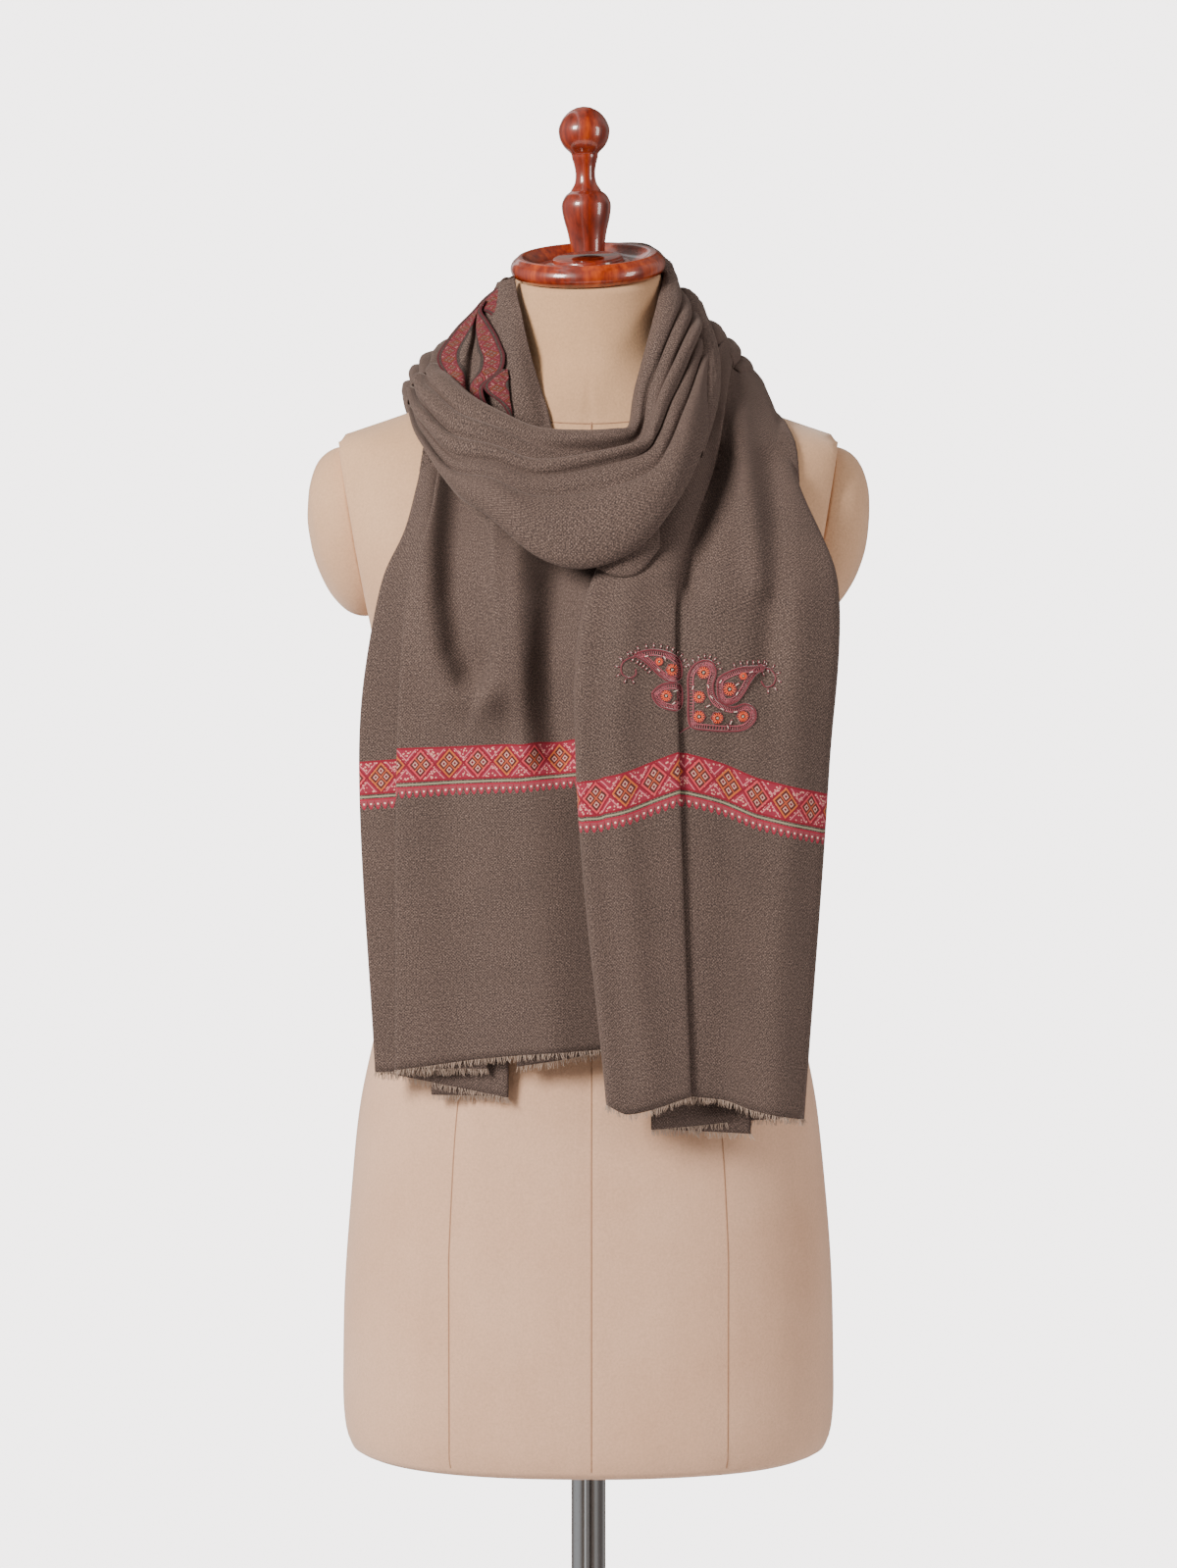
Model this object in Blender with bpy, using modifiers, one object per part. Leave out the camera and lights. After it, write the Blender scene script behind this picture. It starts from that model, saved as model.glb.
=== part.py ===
"""A pashmina shawl wound once round the neck of a limbless dress form, on its stand.

Metres, +Z up, the front of the form faces -Y, and the origin is on the floor under the pole.
The shawl is one long rectangle of cloth.  Its left tail comes up from the hem, goes round the back
of the neck as the neck band, comes down on the right as the cowl, sweeps over the left shoulder,
crosses the upper back as the back wrap and falls from the right shoulder as the right tail.
"""

import math

import bmesh
import bpy
from mathutils import Matrix, Vector

MM = 0.001

# Driving sizes
CLOTH_WALL = 1.2 * MM  # modelled wall of the cloth
SEAM_GAP = 0.3 * MM  # left between pieces that meet
FORM_BOTTOM = 0.6315  # height of the form's flat underside
POLE_RADIUS = 12.0 * MM
BASE_RADIUS = 175.0 * MM
BASE_THICKNESS = 10.0 * MM
NECK_TILT = math.radians(12.0)  # the neck's top plane falls towards the front
NECK_LEAN = math.radians(2.3)  # and a little towards the left
NECK_TOP = 1.447  # height of the middle of that plane
FORM_SEGMENTS = 44
TURNED_STEPS = 32

# The form's level sections, a row for each height
FORM_COLUMNS = ("z", "half_width", "front", "back", "power")
FORM_SECTIONS = (
    (0.6315, 0.1570, -0.106, 0.108, 2.3),
    (0.6355, 0.1650, -0.112, 0.114, 2.3),
    (0.6540, 0.1703, -0.117, 0.119, 2.3),
    (0.695, 0.1712, -0.119, 0.122, 2.3),
    (0.755, 0.1697, -0.119, 0.124, 2.3),
    (0.825, 0.1646, -0.117, 0.124, 2.3),
    (0.875, 0.1590, -0.113, 0.118, 2.3),
    (0.919, 0.1500, -0.107, 0.108, 2.3),
    (0.961, 0.1400, -0.101, 0.098, 2.3),
    (0.995, 0.1340, -0.098, 0.092, 2.2),
    (1.043, 0.1290, -0.098, 0.088, 2.2),
    (1.097, 0.1320, -0.108, 0.090, 2.2),
    (1.140, 0.1370, -0.118, 0.095, 2.2),
    (1.175, 0.1430, -0.121, 0.100, 2.2),
    (1.213, 0.1560, -0.116, 0.103, 2.3),
    (1.260, 0.1740, -0.103, 0.105, 2.4),
    (1.301, 0.1830, -0.086, 0.104, 2.4),
    (1.325, 0.1860, -0.074, 0.098, 2.4),
    (1.335, 0.1780, -0.068, 0.091, 2.3),
    (1.343, 0.1560, -0.063, 0.084, 2.2),
    (1.354, 0.1240, -0.061, 0.076, 2.1),
    (1.366, 0.0930, -0.060, 0.069, 2.0),
    (1.380, 0.0690, -0.057, 0.063, 2.0),
    (1.397, 0.0565, -0.053, 0.057, 2.0),
    (1.447, 0.0500, -0.050, 0.052, 2.0),
)
NECK_BENDS_FROM = 1.380  # above this height the sections tip to meet the neck's top plane

# The armhole's plane, where the arm cap is sewn on: half width = ARMHOLE_X + ARMHOLE_SLOPE * (z - ARMHOLE_Z)
ARMHOLE_Z = 1.2126
ARMHOLE_X = 0.1500
ARMHOLE_SLOPE = 0.177
ARM_CAP_HALF_HEIGHT = 58.0 * MM
ARM_CAP_HALF_DEPTH = 47.0 * MM
ARM_CAP_BULGE = 32.0 * MM
ARM_CAP_MIDDLE_Z = 1.272

# Turned wood, each as (radius, height) in mm from the axis and the underside, top to bottom
NECK_PLATE_PROFILE = (
    (0.0, 13.6), (21.5, 13.6), (24.0, 12.6), (24.8, 10.4), (29.0, 9.4), (31.5, 7.6), (36.0, 8.2),
    (41.5, 12.0), (45.0, 15.0), (47.4, 15.2), (49.6, 13.4), (52.0, 11.2), (53.4, 7.6), (52.6, 3.6),
    (50.0, 0.9), (46.5, 0.0), (0.0, 0.0),
)
FINIAL_PROFILE = (
    (0.0, 99.0), (5.0, 98.2), (10.2, 95.4), (14.4, 91.0), (17.0, 85.6), (17.5, 82.0), (16.6, 76.6),
    (13.8, 71.4), (10.2, 67.8), (9.2, 66.4), (8.9, 64.2), (7.4, 58.6), (6.7, 52.4), (7.6, 46.6),
    (9.9, 42.6), (10.7, 41.2), (14.0, 38.6), (16.6, 33.6), (16.9, 29.6), (15.8, 22.6), (13.6, 14.0),
    (12.2, 6.6), (11.7, 0.0), (0.0, 0.0),
)


def clear_scene():
    for thing in list(bpy.data.objects):
        bpy.data.objects.remove(thing)


def finish(name, colour, roughness, metallic=0.0):
    """A plain Principled BSDF with the piece's own colour."""
    made = bpy.data.materials.new(name)
    made.use_nodes = True
    shader = made.node_tree.nodes["Principled BSDF"]
    shader.inputs["Base Color"].default_value = (*colour, 1.0)
    shader.inputs["Roughness"].default_value = roughness
    shader.inputs["Metallic"].default_value = metallic
    made.diffuse_color = (*colour, 1.0)
    return made


def smooth_column(table, column, at):
    """The column's value at this key (the first column), on a smooth curve through the rows."""
    keys = [row[0] for row in table]
    if at <= keys[0]:
        return table[0][column]
    if at >= keys[-1]:
        return table[-1][column]
    i = max(k for k in range(len(keys) - 1) if keys[k] <= at)

    def slope(k):
        low, high = max(k - 1, 0), min(k + 1, len(keys) - 1)
        return (table[high][column] - table[low][column]) / (keys[high] - keys[low])

    span = keys[i + 1] - keys[i]
    t = (at - keys[i]) / span
    a, b = table[i][column], table[i + 1][column]
    return (
        a * (2 * t**3 - 3 * t**2 + 1)
        + slope(i) * span * (t**3 - 2 * t**2 + t)
        + b * (3 * t**2 - 2 * t**3)
        + slope(i + 1) * span * (t**3 - t**2)
    )


def form_section(z):
    """Half width, middle y, half depth and power of the form's level section at this height."""
    z = min(max(z, FORM_SECTIONS[0][0]), FORM_SECTIONS[-1][0])
    half_width, front, back, power = (smooth_column(FORM_SECTIONS, c, z) for c in range(1, 5))
    return half_width, (front + back) / 2, (back - front) / 2, power


def form_level(point):
    """1 on the form's surface, less inside it and more outside it."""
    half_width, middle, half_depth, power = form_section(point.z)
    across = abs(point.x) / half_width
    along = abs(point.y - middle) / half_depth
    level = (across**power + along**power) ** (1 / power)
    return level + max(0.0, point.z - FORM_SECTIONS[-1][0]) / half_depth


def keep_clear(point, gap):
    """The point, moved straight out of the form where it is nearer than the gap."""
    step = 0.5 * MM
    for _ in range(8):
        level = form_level(point)
        rise = Vector(
            [
                (form_level(point + axis * step) - form_level(point - axis * step)) / (2 * step)
                for axis in (Vector((1, 0, 0)), Vector((0, 1, 0)), Vector((0, 0, 1)))
            ]
        )
        short = gap - (level - 1) / max(rise.length, 1e-6)
        if short <= 0:
            break
        point = point + rise.normalized() * min(short, 6 * MM)
    return point


def mesh_object(name, bm, material, collection):
    bmesh.ops.recalc_face_normals(bm, faces=bm.faces)
    closed = all(edge.is_manifold for edge in bm.edges)
    if closed and bm.calc_volume(signed=True) < 0:
        bmesh.ops.reverse_faces(bm, faces=bm.faces)
    mesh = bpy.data.meshes.new(name)
    bm.to_mesh(mesh)
    bm.free()
    made = bpy.data.objects.new(name, mesh)
    mesh.materials.append(material)
    collection.objects.link(made)
    mesh.shade_smooth()
    return made


# ------------------------------------------------------------------ the form and its stand


def form_ring(z):
    """The points of the form's section at this height, with the armholes cut flat."""
    half_width, middle, half_depth, power = form_section(z)
    limit = ARMHOLE_X + ARMHOLE_SLOPE * (z - ARMHOLE_Z) if z > ARMHOLE_Z - 0.02 else half_width
    share = min(1.0, max(0.0, (z - NECK_BENDS_FROM) / (NECK_TOP - NECK_BENDS_FROM)))
    ring = []
    for k in range(FORM_SEGMENTS):
        angle = 2 * math.pi * k / FORM_SEGMENTS
        across, along = math.cos(angle), math.sin(angle)
        reach = (abs(across) ** power + abs(along) ** power) ** (-1 / power)
        x = half_width * across * reach
        y = middle + half_depth * along * reach
        x = max(-limit, min(limit, x))
        tip = share * (y * math.tan(NECK_TILT) + x * math.tan(NECK_LEAN))
        ring.append(Vector((x, y, z + tip)))
    return ring


def build_form(material, collection):
    bm = bmesh.new()
    heights = [row[0] for row in FORM_SECTIONS]
    heights += [(a + b) / 2 for a, b in zip(heights, heights[1:]) if b - a > 0.03]
    rings = [[bm.verts.new(p) for p in form_ring(z)] for z in sorted(heights)]
    for low, high in zip(rings, rings[1:]):
        for k in range(FORM_SEGMENTS):
            n = (k + 1) % FORM_SEGMENTS
            bm.faces.new((low[k], low[n], high[n], high[k]))
    bm.faces.new(rings[0])
    bm.faces.new(rings[-1])
    return mesh_object("form_torso", bm, material, collection)


def build_arm_cap(name, side, material, collection):
    """A padded dome on the flat of the armhole."""
    bm = bmesh.new()
    bmesh.ops.create_uvsphere(bm, u_segments=24, v_segments=12, radius=1.0)
    whole = bm.verts[:] + bm.edges[:] + bm.faces[:]
    bmesh.ops.bisect_plane(bm, geom=whole, plane_co=(0, 0, 0), plane_no=(1, 0, 0), clear_inner=True)
    bmesh.ops.holes_fill(bm, edges=[edge for edge in bm.edges if edge.is_boundary], sides=0)
    middle_x = ARMHOLE_X + ARMHOLE_SLOPE * (ARM_CAP_MIDDLE_Z - ARMHOLE_Z)
    for v in bm.verts:
        out = v.co.x * ARM_CAP_BULGE
        up = v.co.z * ARM_CAP_HALF_HEIGHT
        x = middle_x + SEAM_GAP + out + ARMHOLE_SLOPE * up
        y = 0.010 + v.co.y * ARM_CAP_HALF_DEPTH
        v.co = Vector((side * x, y, ARM_CAP_MIDDLE_Z + up - ARMHOLE_SLOPE * out))
    return mesh_object(name, bm, material, collection)


def turned(name, profile, steps, material, collection):
    """A solid turned about Z from (radius, height) rows in mm, top to bottom."""
    bm = bmesh.new()
    points = [bm.verts.new((radius * MM, 0, height * MM)) for radius, height in profile]
    for a, b in zip(points, points[1:]):
        bm.edges.new((a, b))
    mesh = bpy.data.meshes.new(name)
    bm.to_mesh(mesh)
    bm.free()
    made = bpy.data.objects.new(name, mesh)
    mesh.materials.append(material)
    collection.objects.link(made)
    screw = made.modifiers.new("Turn", "SCREW")
    screw.steps = steps
    screw.render_steps = steps
    screw.use_merge_vertices = True
    screw.merge_threshold = 0.00002
    screw.use_smooth_shade = True
    return made


def build_wood(material, collection):
    """The neck plate and its finial, square to the neck's top plane."""
    square = Matrix.Rotation(-NECK_LEAN, 4, "Y") @ Matrix.Rotation(NECK_TILT, 4, "X")
    middle = Vector((0, 0.001, NECK_TOP))
    up = square @ Vector((0, 0, 1))
    plate = turned("neck_plate", NECK_PLATE_PROFILE, TURNED_STEPS, material, collection)
    plate.matrix_world = Matrix.Translation(middle + up * (SEAM_GAP * 2)) @ square
    top = NECK_PLATE_PROFILE[0][1] * MM
    upright = Matrix.Rotation(-NECK_LEAN * 0.75, 4, "Y") @ Matrix.Rotation(NECK_TILT * 0.1, 4, "X")
    finial = turned("neck_finial", FINIAL_PROFILE, 24, material, collection)
    foot = middle + up * (SEAM_GAP * 2 + top) + Vector((0, 0, 3.2 * MM))
    finial.matrix_world = Matrix.Translation(foot) @ upright


def build_stand(chrome, collection):
    base_top = BASE_THICKNESS
    rim, thick = BASE_RADIUS / MM, BASE_THICKNESS / MM
    base = ((0.0, thick), (rim - 4, thick), (rim, thick - 4), (rim, 0.0), (0.0, 0.0))
    turned("base_plate", base, 48, chrome, collection)
    socket = ((0.0, 26.0), (15.0, 26.0), (19.0, 22.0), (22.0, 4.0), (30.0, 0.0), (0.0, 0.0))
    foot = turned("pole_socket", socket, 24, chrome, collection)
    foot.location.z = base_top + SEAM_GAP
    pole_bottom = base_top + SEAM_GAP * 2 + 26 * MM
    washer_thickness = 2.5
    washer = (
        (0.0, washer_thickness), (18.5, washer_thickness), (19.5, 1.6), (19.5, 0.6), (18.5, 0.0), (0.0, 0.0),
    )
    ring = turned("pole_washer", washer, 24, chrome, collection)
    ring.location.z = FORM_BOTTOM - SEAM_GAP - washer_thickness * MM
    pole_top = ring.location.z - SEAM_GAP
    radius = POLE_RADIUS / MM
    length = (pole_top - pole_bottom) / MM
    pole = ((0.0, length), (radius, length), (radius, 0.0), (0.0, 0.0))
    tube = turned("pole", pole, 24, chrome, collection)
    tube.location.z = pole_bottom


# ------------------------------------------------------------------ the shawl's hanging tails

# Where each fold stands across the tail, in mm, at five stations down it, and how far behind the front
# panel the cloth lies before and after the fold.  "drop" is how far the hem hangs lower there.
TAIL_COLUMNS = ("fold", "shoulder", "collar", "chest", "border", "hem", "before", "after", "drop")
LEFT_TAIL_FOLDS = (
    ("inner selvedge", -58, -54, -46, -46, -48, 3.6, 3.6, 6),
    ("right turn", -26, -14, 12, 34, 34, 3.6, 0.0, -4),
    ("panel middle", -60, -56, -50, -46, -48, 0.0, 0.0, 3),
    ("left panel fold", -96, -104, -119, -127, -129, 0.0, 3.6, 7),
    ("middle tuck", -66, -70, -72, -78, -69, 3.6, 7.4, 4),
    ("outer left fold", -107, -119, -138, -153, -143, 7.4, 11.2, 14),
    ("back turn", -60, -60, -58, -54, -55, 11.2, 15.0, 27),
    ("outer selvedge", -98, -104, -110, -112, -106, 15.0, 15.0, 27),
)
RIGHT_TAIL_FOLDS = (
    ("inner selvedge", 100, 100, 98, 98, 100, 10.8, 10.8, 6),
    ("left edge", 94.5, 65, 3, -6, 14, 10.8, 0.0, 0),
    ("pleat lip", 101, 85, 58, 59, 67, 0.0, 3.6, 0),
    ("pleat bottom", 96, 71, 26, 20, 22, 3.6, 7.2, 0),
    ("panel start", 103, 90, 64, 64, 72, 7.2, 1.0, 4),
    ("right edge", 121, 140, 164, 158, 142, 1.0, 14.4, 20),
    ("back turn", 100, 84, 52, 44, 43, 14.4, 18.0, 27),
    ("outer selvedge", 112, 116, 116, 112, 109, 18.0, 18.0, 30),
)

# The line down each tail's front panel: station as a share of the table above, place, lean of the
# panel's face from level (degrees) and how much higher the cloth lies towards the neck
PATH_COLUMNS = ("station", "y", "z", "lean", "tilt")
LEFT_TAIL_PATH = (
    (0.0, -0.064, 1.3400, 38, 0.10),
    (0.6, -0.091, 1.3170, 32, 0.08),
    (1.2, -0.113, 1.2800, 22, 0.04),
    (2.0, -0.127, 1.2400, 12, 0.0),
    (2.5, -0.136, 1.1900, 2, 0.0),
    (3.0, -0.134, 1.1250, 0, 0.0),
    (3.5, -0.131, 1.0250, 0, 0.0),
    (4.0, -0.130, 0.9180, 0, 0.0),
)
RIGHT_TAIL_PATH = (
    (0.0, -0.012, 1.3950, 62, 1.15),
    (0.35, -0.040, 1.3760, 56, 0.80),
    (0.7, -0.070, 1.3470, 46, 0.45),
    (1.0, -0.093, 1.3180, 36, 0.25),
    (1.5, -0.120, 1.2800, 24, 0.10),
    (2.0, -0.144, 1.2400, 12, 0.0),
    (2.5, -0.157, 1.1850, 2, 0.0),
    (3.0, -0.157, 1.1200, 0, 0.0),
    (3.5, -0.153, 1.0150, 0, 0.0),
    (4.0, -0.151, 0.9000, 0, 0.0),
)
TAIL_CURVE = 0.026  # how far the tail curves back at its outer edge, following the body
TAIL_CURVE_AT = 0.150


def spline(points, most):
    """Points along a smooth curve through these, no further apart than this."""
    made = []
    last = len(points) - 1
    for i in range(last):
        before, a, b, after = points[max(i - 1, 0)], points[i], points[i + 1], points[min(i + 2, last)]
        span = (b - a).length
        start = (b - before) * (span / max((b - a).length + (a - before).length, 1e-9))
        end = (after - a) * (span / max((b - a).length + (after - b).length, 1e-9))
        count = max(1, math.ceil(span / most))
        for k in range(count):
            t = k / count
            made.append(
                a * (2 * t**3 - 3 * t**2 + 1)
                + start * (t**3 - 2 * t**2 + t)
                + b * (3 * t**2 - 2 * t**3)
                + end * (t**3 - t**2)
            )
    made.append(points[-1].copy())
    return made


def evenly(points, count):
    """This many points at even distances along the line."""
    lengths = [0.0]
    for a, b in zip(points, points[1:]):
        lengths.append(lengths[-1] + (b - a).length)
    made = []
    i = 0
    for k in range(count):
        want = lengths[-1] * k / (count - 1)
        while i < len(lengths) - 2 and lengths[i + 1] < want:
            i += 1
        step = max(lengths[i + 1] - lengths[i], 1e-9)
        made.append(points[i].lerp(points[i + 1], min(1.0, (want - lengths[i]) / step)))
    return made


def tail_section(folds, path, station):
    """The cloth's line across the tail at this station."""
    row = [smooth_column(path, column, station) for column in range(1, 5)]
    y, z, lean, tilt = row
    lean = math.radians(lean)
    behind = Vector((0, math.cos(lean), -math.sin(lean)))
    low = min(int(station), 3)
    middle = sum(fold[1] for fold in folds) / len(folds) * MM
    line = []
    for fold in folds:
        keys = tuple((k, fold[1 + k]) for k in range(5))
        x = smooth_column(keys, 1, station) * MM
        curve = TAIL_CURVE * (abs(x) / TAIL_CURVE_AT) ** 2.2
        drop = fold[8] * MM * min(1.0, max(0.0, (station - low) if low == 3 else 0.0))
        for depth in (fold[6],) if fold[6] == fold[7] else (fold[6], fold[7]):
            place = Vector((x, y + curve, z - drop)) + behind * depth * MM
            place.z -= tilt * (abs(x) - abs(middle)) if station < 2 else 0.0
            line.append(place)
    return line


def build_tail(name, folds, path, counts, stations, material, collection):
    """A pleated tail: a section at each station, thickened to the cloth's wall."""
    rows = []
    first, last = stations
    for k in range(counts[1] + 1):
        station = first + (last - first) * k / counts[1]
        line = evenly(spline(tail_section(folds, path, station), 4 * MM), counts[0])
        rows.append(line)
    return sheet(name, rows, material, collection)


def sheet(name, rows, material, collection):
    """Cloth through the rows of points, with the wall of the shawl."""
    bm = bmesh.new()
    grid = [[bm.verts.new(keep_clear(point, 3.2 * MM)) for point in row] for row in rows]
    for low, high in zip(grid, grid[1:]):
        for k in range(len(low) - 1):
            bm.faces.new((low[k], low[k + 1], high[k + 1], high[k]))
    made = mesh_object(name, bm, material, collection)
    wall = made.modifiers.new("Wall", "SOLIDIFY")
    wall.thickness = CLOTH_WALL
    wall.offset = 0.0
    return made


# ------------------------------------------------------------------ the shawl's turns round the neck

# Each section runs from the upper or inner edge to the lower or outer edge, in mm, and bellies outwards
BAND_COLUMNS = ("place", "x", "y", "z", "low_x", "low_y", "low_z", "belly")
COWL_SECTIONS = (
    (0.00, 50, 14, 1457, 68, 20, 1397, 4),
    (0.10, 51, -16, 1442, 75, -12, 1393, 6),
    (0.20, 44, -42, 1416, 80, -44, 1383, 9),
    (0.32, 31, -66, 1368, 80, -90, 1345, 14),
    (0.42, 26, -88, 1343, 64, -122, 1304, 13),
    (0.52, 13, -97, 1341, 36, -147, 1268, 10),
    (0.62, -8, -99, 1341, -1, -153, 1252, 9),
    (0.72, -34, -97, 1343, -34, -150, 1260, 9),
    (0.80, -56, -89, 1352, -66, -138, 1286, 9),
    (0.88, -77, -74, 1364, -89, -117, 1301, 9),
    (0.95, -93, -47, 1378, -109, -82, 1329, 8),
    (1.00, -99, -22, 1385, -119, -40, 1352, 6),
)
BACK_SECTIONS = (
    (0.00, -99, -20, 1385, -119.5, -38, 1351, 6),
    (0.12, -95, 20, 1398, -125, 14, 1360, 8),
    (0.25, -82, 66, 1408, -118, 90, 1336, 10),
    (0.38, -48, 96, 1418, -74, 128, 1288, 10),
    (0.52, 0, 106, 1422, 0, 138, 1264, 10),
    (0.66, 44, 96, 1418, 70, 128, 1286, 10),
    (0.80, 70, 66, 1414, 104, 96, 1332, 8),
    (0.92, 77, 34, 1418, 117, 40, 1357, 5),
    (1.00, 82, 14, 1417, 121, 14, 1361, 4),
)
NECK_SECTIONS = (
    (0.00, -55, -13, 1446, -64, -9, 1428, 1),
    (0.16, -60, 12, 1444, -68, 16, 1402, 2),
    (0.34, -42, 51, 1454, -52, 62, 1394, 3),
    (0.50, 2, 66, 1470, 0, 82, 1390, 4),
    (0.68, 38, 54, 1472, 50, 64, 1394, 4),
    (0.86, 50, 26, 1462, 64, 33, 1400, 4),
    (1.00, 50.5, 15, 1458, 68, 21, 1398, 4),
)

# Folds along a turn: where each lies between the edges at the turn's start, middle and end, how far
# it stands out there (inwards when negative), and its width as a share of the turn's
RIDGE_COLUMNS = ("fold", "start", "middle", "end", "start_mm", "middle_mm", "end_mm", "width")
COWL_RIDGES = (
    ("rim roll", 0.06, 0.04, 0.10, 3.0, 3.0, 3.0, 0.07),
    ("hollow under the rim", 0.22, 0.16, 0.26, -4.0, -8.0, -4.0, 0.09),
    ("upper fold", 0.36, 0.26, 0.42, 4.0, 6.0, 4.5, 0.09),
    ("long crease", 0.52, 0.37, 0.58, -4.5, -6.0, -5.0, 0.06),
    ("drape panel", 0.68, 0.66, 0.74, 4.0, 5.0, 4.0, 0.22),
    ("outer crease", 0.84, 0.99, 0.88, -4.0, 0.0, -3.5, 0.06),
)
BACK_RIDGES = (
    ("upper fold", 0.12, 0.08, 0.14, 3.0, 4.0, 1.5, 0.10),
    ("first crease", 0.30, 0.26, 0.30, -3.0, -5.0, -2.0, 0.09),
    ("middle fold", 0.48, 0.46, 0.50, 3.0, 5.0, 2.0, 0.12),
    ("second crease", 0.66, 0.68, 0.68, -3.0, -4.0, -2.0, 0.09),
    ("lower fold", 0.84, 0.86, 0.84, 2.5, 4.0, 2.0, 0.12),
)
NECK_RIDGES = (
    ("upper fold", 0.16, 0.14, 0.16, 1.0, 2.0, 3.0, 0.12),
    ("crease", 0.48, 0.44, 0.40, -1.0, -2.0, -3.0, 0.12),
    ("lower fold", 0.80, 0.76, 0.74, 1.0, 2.0, 3.0, 0.14),
)


def build_turn(name, sections, ridges, counts, material, collection):
    """A gathered stretch of the shawl going round the neck."""
    rows = []
    for k in range(counts[1] + 1):
        place = k / counts[1]
        values = [smooth_column(sections, column, place) for column in range(1, 8)]
        top, low = Vector(values[0:3]) * MM, Vector(values[3:6]) * MM
        ahead = Vector([smooth_column(sections, column, place + 0.01) for column in range(1, 4)]) * MM
        behind = Vector([smooth_column(sections, column, place - 0.01) for column in range(1, 4)]) * MM
        along = (ahead - behind).normalized()
        out = along.cross(low - top).normalized()
        if out.dot(Vector((top.x, top.y, 0))) < 0:
            out = -out
        row = []
        for n in range(counts[0] + 1):
            v = n / counts[0]
            push = values[6] * math.sin(math.pi * v) ** 0.8
            for _, start, middle, end, start_mm, middle_mm, end_mm, width in ridges:
                at = smooth_column(((0.0, start), (0.5, middle), (1.0, end)), 1, place)
                height = smooth_column(((0.0, start_mm), (0.5, middle_mm), (1.0, end_mm)), 1, place)
                push += height * math.exp(-(((v - at) / width) ** 2))
            row.append(top.lerp(low, v) + out * push * MM)
        rows.append(row)
    return sheet(name, rows, material, collection)


# The gathered rise on the left of the neck, where the tail climbs to the neck band, in mm
RISE_COLUMNS = ("fold", "foot", "middle", "top", "depth")
LEFT_RISE_FOLDS = (
    ("inner edge", -25, -36, -49, 0.0),
    ("panel", -40, -46, -55, -2.5),
    ("panel fold", -53, -56, -61, -1.0),
    ("tuck", -57, -58, -62, 7.0),
    ("second border", -66, -66, -66, -2.0),
    ("valley", -76, -79, -70, 7.0),
    ("outer roll", -84, -91, -77, 2.0),
    ("outer selvedge", -86, -90, -75, 9.0),
)
LEFT_RISE_PATH = ((0.0, -0.0640, 1.3460), (0.5, -0.0540, 1.3930), (1.0, -0.0240, 1.4400))


def build_rise(name, folds, path, counts, material, collection):
    rows = []
    for k in range(counts[1] + 1):
        place = k / counts[1]
        y, z = smooth_column(path, 1, place), smooth_column(path, 2, place)
        line = []
        for _, foot, middle, top, depth in folds:
            x = smooth_column(((0.0, foot), (0.5, middle), (1.0, top)), 1, place) * MM
            back = abs(x + 0.045) * (0.1 + 0.25 * place)
            line.append(Vector((x, y + back + depth * MM * (1 - 0.5 * place), z - 0.25 * place * abs(x + 0.045))))
        rows.append(evenly(spline(line, 3 * MM), counts[0]))
    return sheet(name, rows, material, collection)


# The tip of cloth that hangs below the cowl
TIP_COLUMNS = ("place", "x", "y", "z", "low_x", "low_y", "low_z", "belly")
TIP_SECTIONS = (
    (0.00, 1, -139, 1272, 4, -143, 1252, 0),
    (0.35, 14, -139, 1276, 18, -146, 1246, 1),
    (0.65, 28, -138, 1280, 32, -144, 1247, 1),
    (1.00, 46, -131, 1286, 47, -136, 1264, 0),
)

def main():
    clear_scene()
    collection = bpy.context.scene.collection
    suede = finish("beige suede cloth", (0.60, 0.45, 0.34), 0.9)
    wood = finish("varnished red-brown wood", (0.25, 0.05, 0.015), 0.25)
    chrome = finish("chrome-plated steel", (0.75, 0.75, 0.77), 0.15, 1.0)
    pashmina = finish("taupe pashmina", (0.20, 0.15, 0.12), 0.95)
    build_form(suede, collection)
    build_arm_cap("arm_cap_left", -1, suede, collection)
    build_arm_cap("arm_cap_right", 1, suede, collection)
    build_wood(wood, collection)
    build_stand(chrome, collection)
    build_tail("shawl_tail_left", LEFT_TAIL_FOLDS, LEFT_TAIL_PATH, (44, 15), (0.0, 4.0), pashmina, collection)
    build_tail("shawl_tail_right", RIGHT_TAIL_FOLDS, RIGHT_TAIL_PATH, (46, 18), (0.0, 4.0), pashmina, collection)
    build_rise("shawl_left_rise", LEFT_RISE_FOLDS, LEFT_RISE_PATH, (26, 9), pashmina, collection)
    build_turn("shawl_neck_band", NECK_SECTIONS, NECK_RIDGES, (9, 24), pashmina, collection)
    build_turn("shawl_cowl", COWL_SECTIONS, COWL_RIDGES, (22, 30), pashmina, collection)
    build_turn("shawl_cowl_tip", TIP_SECTIONS, (), (4, 6), pashmina, collection)
    build_turn("shawl_back_wrap", BACK_SECTIONS, BACK_RIDGES, (16, 26), pashmina, collection)


main()
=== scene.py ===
import math
import random

import bmesh
import bpy
from mathutils import Matrix, Vector, noise
from mathutils.bvhtree import BVHTree


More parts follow.
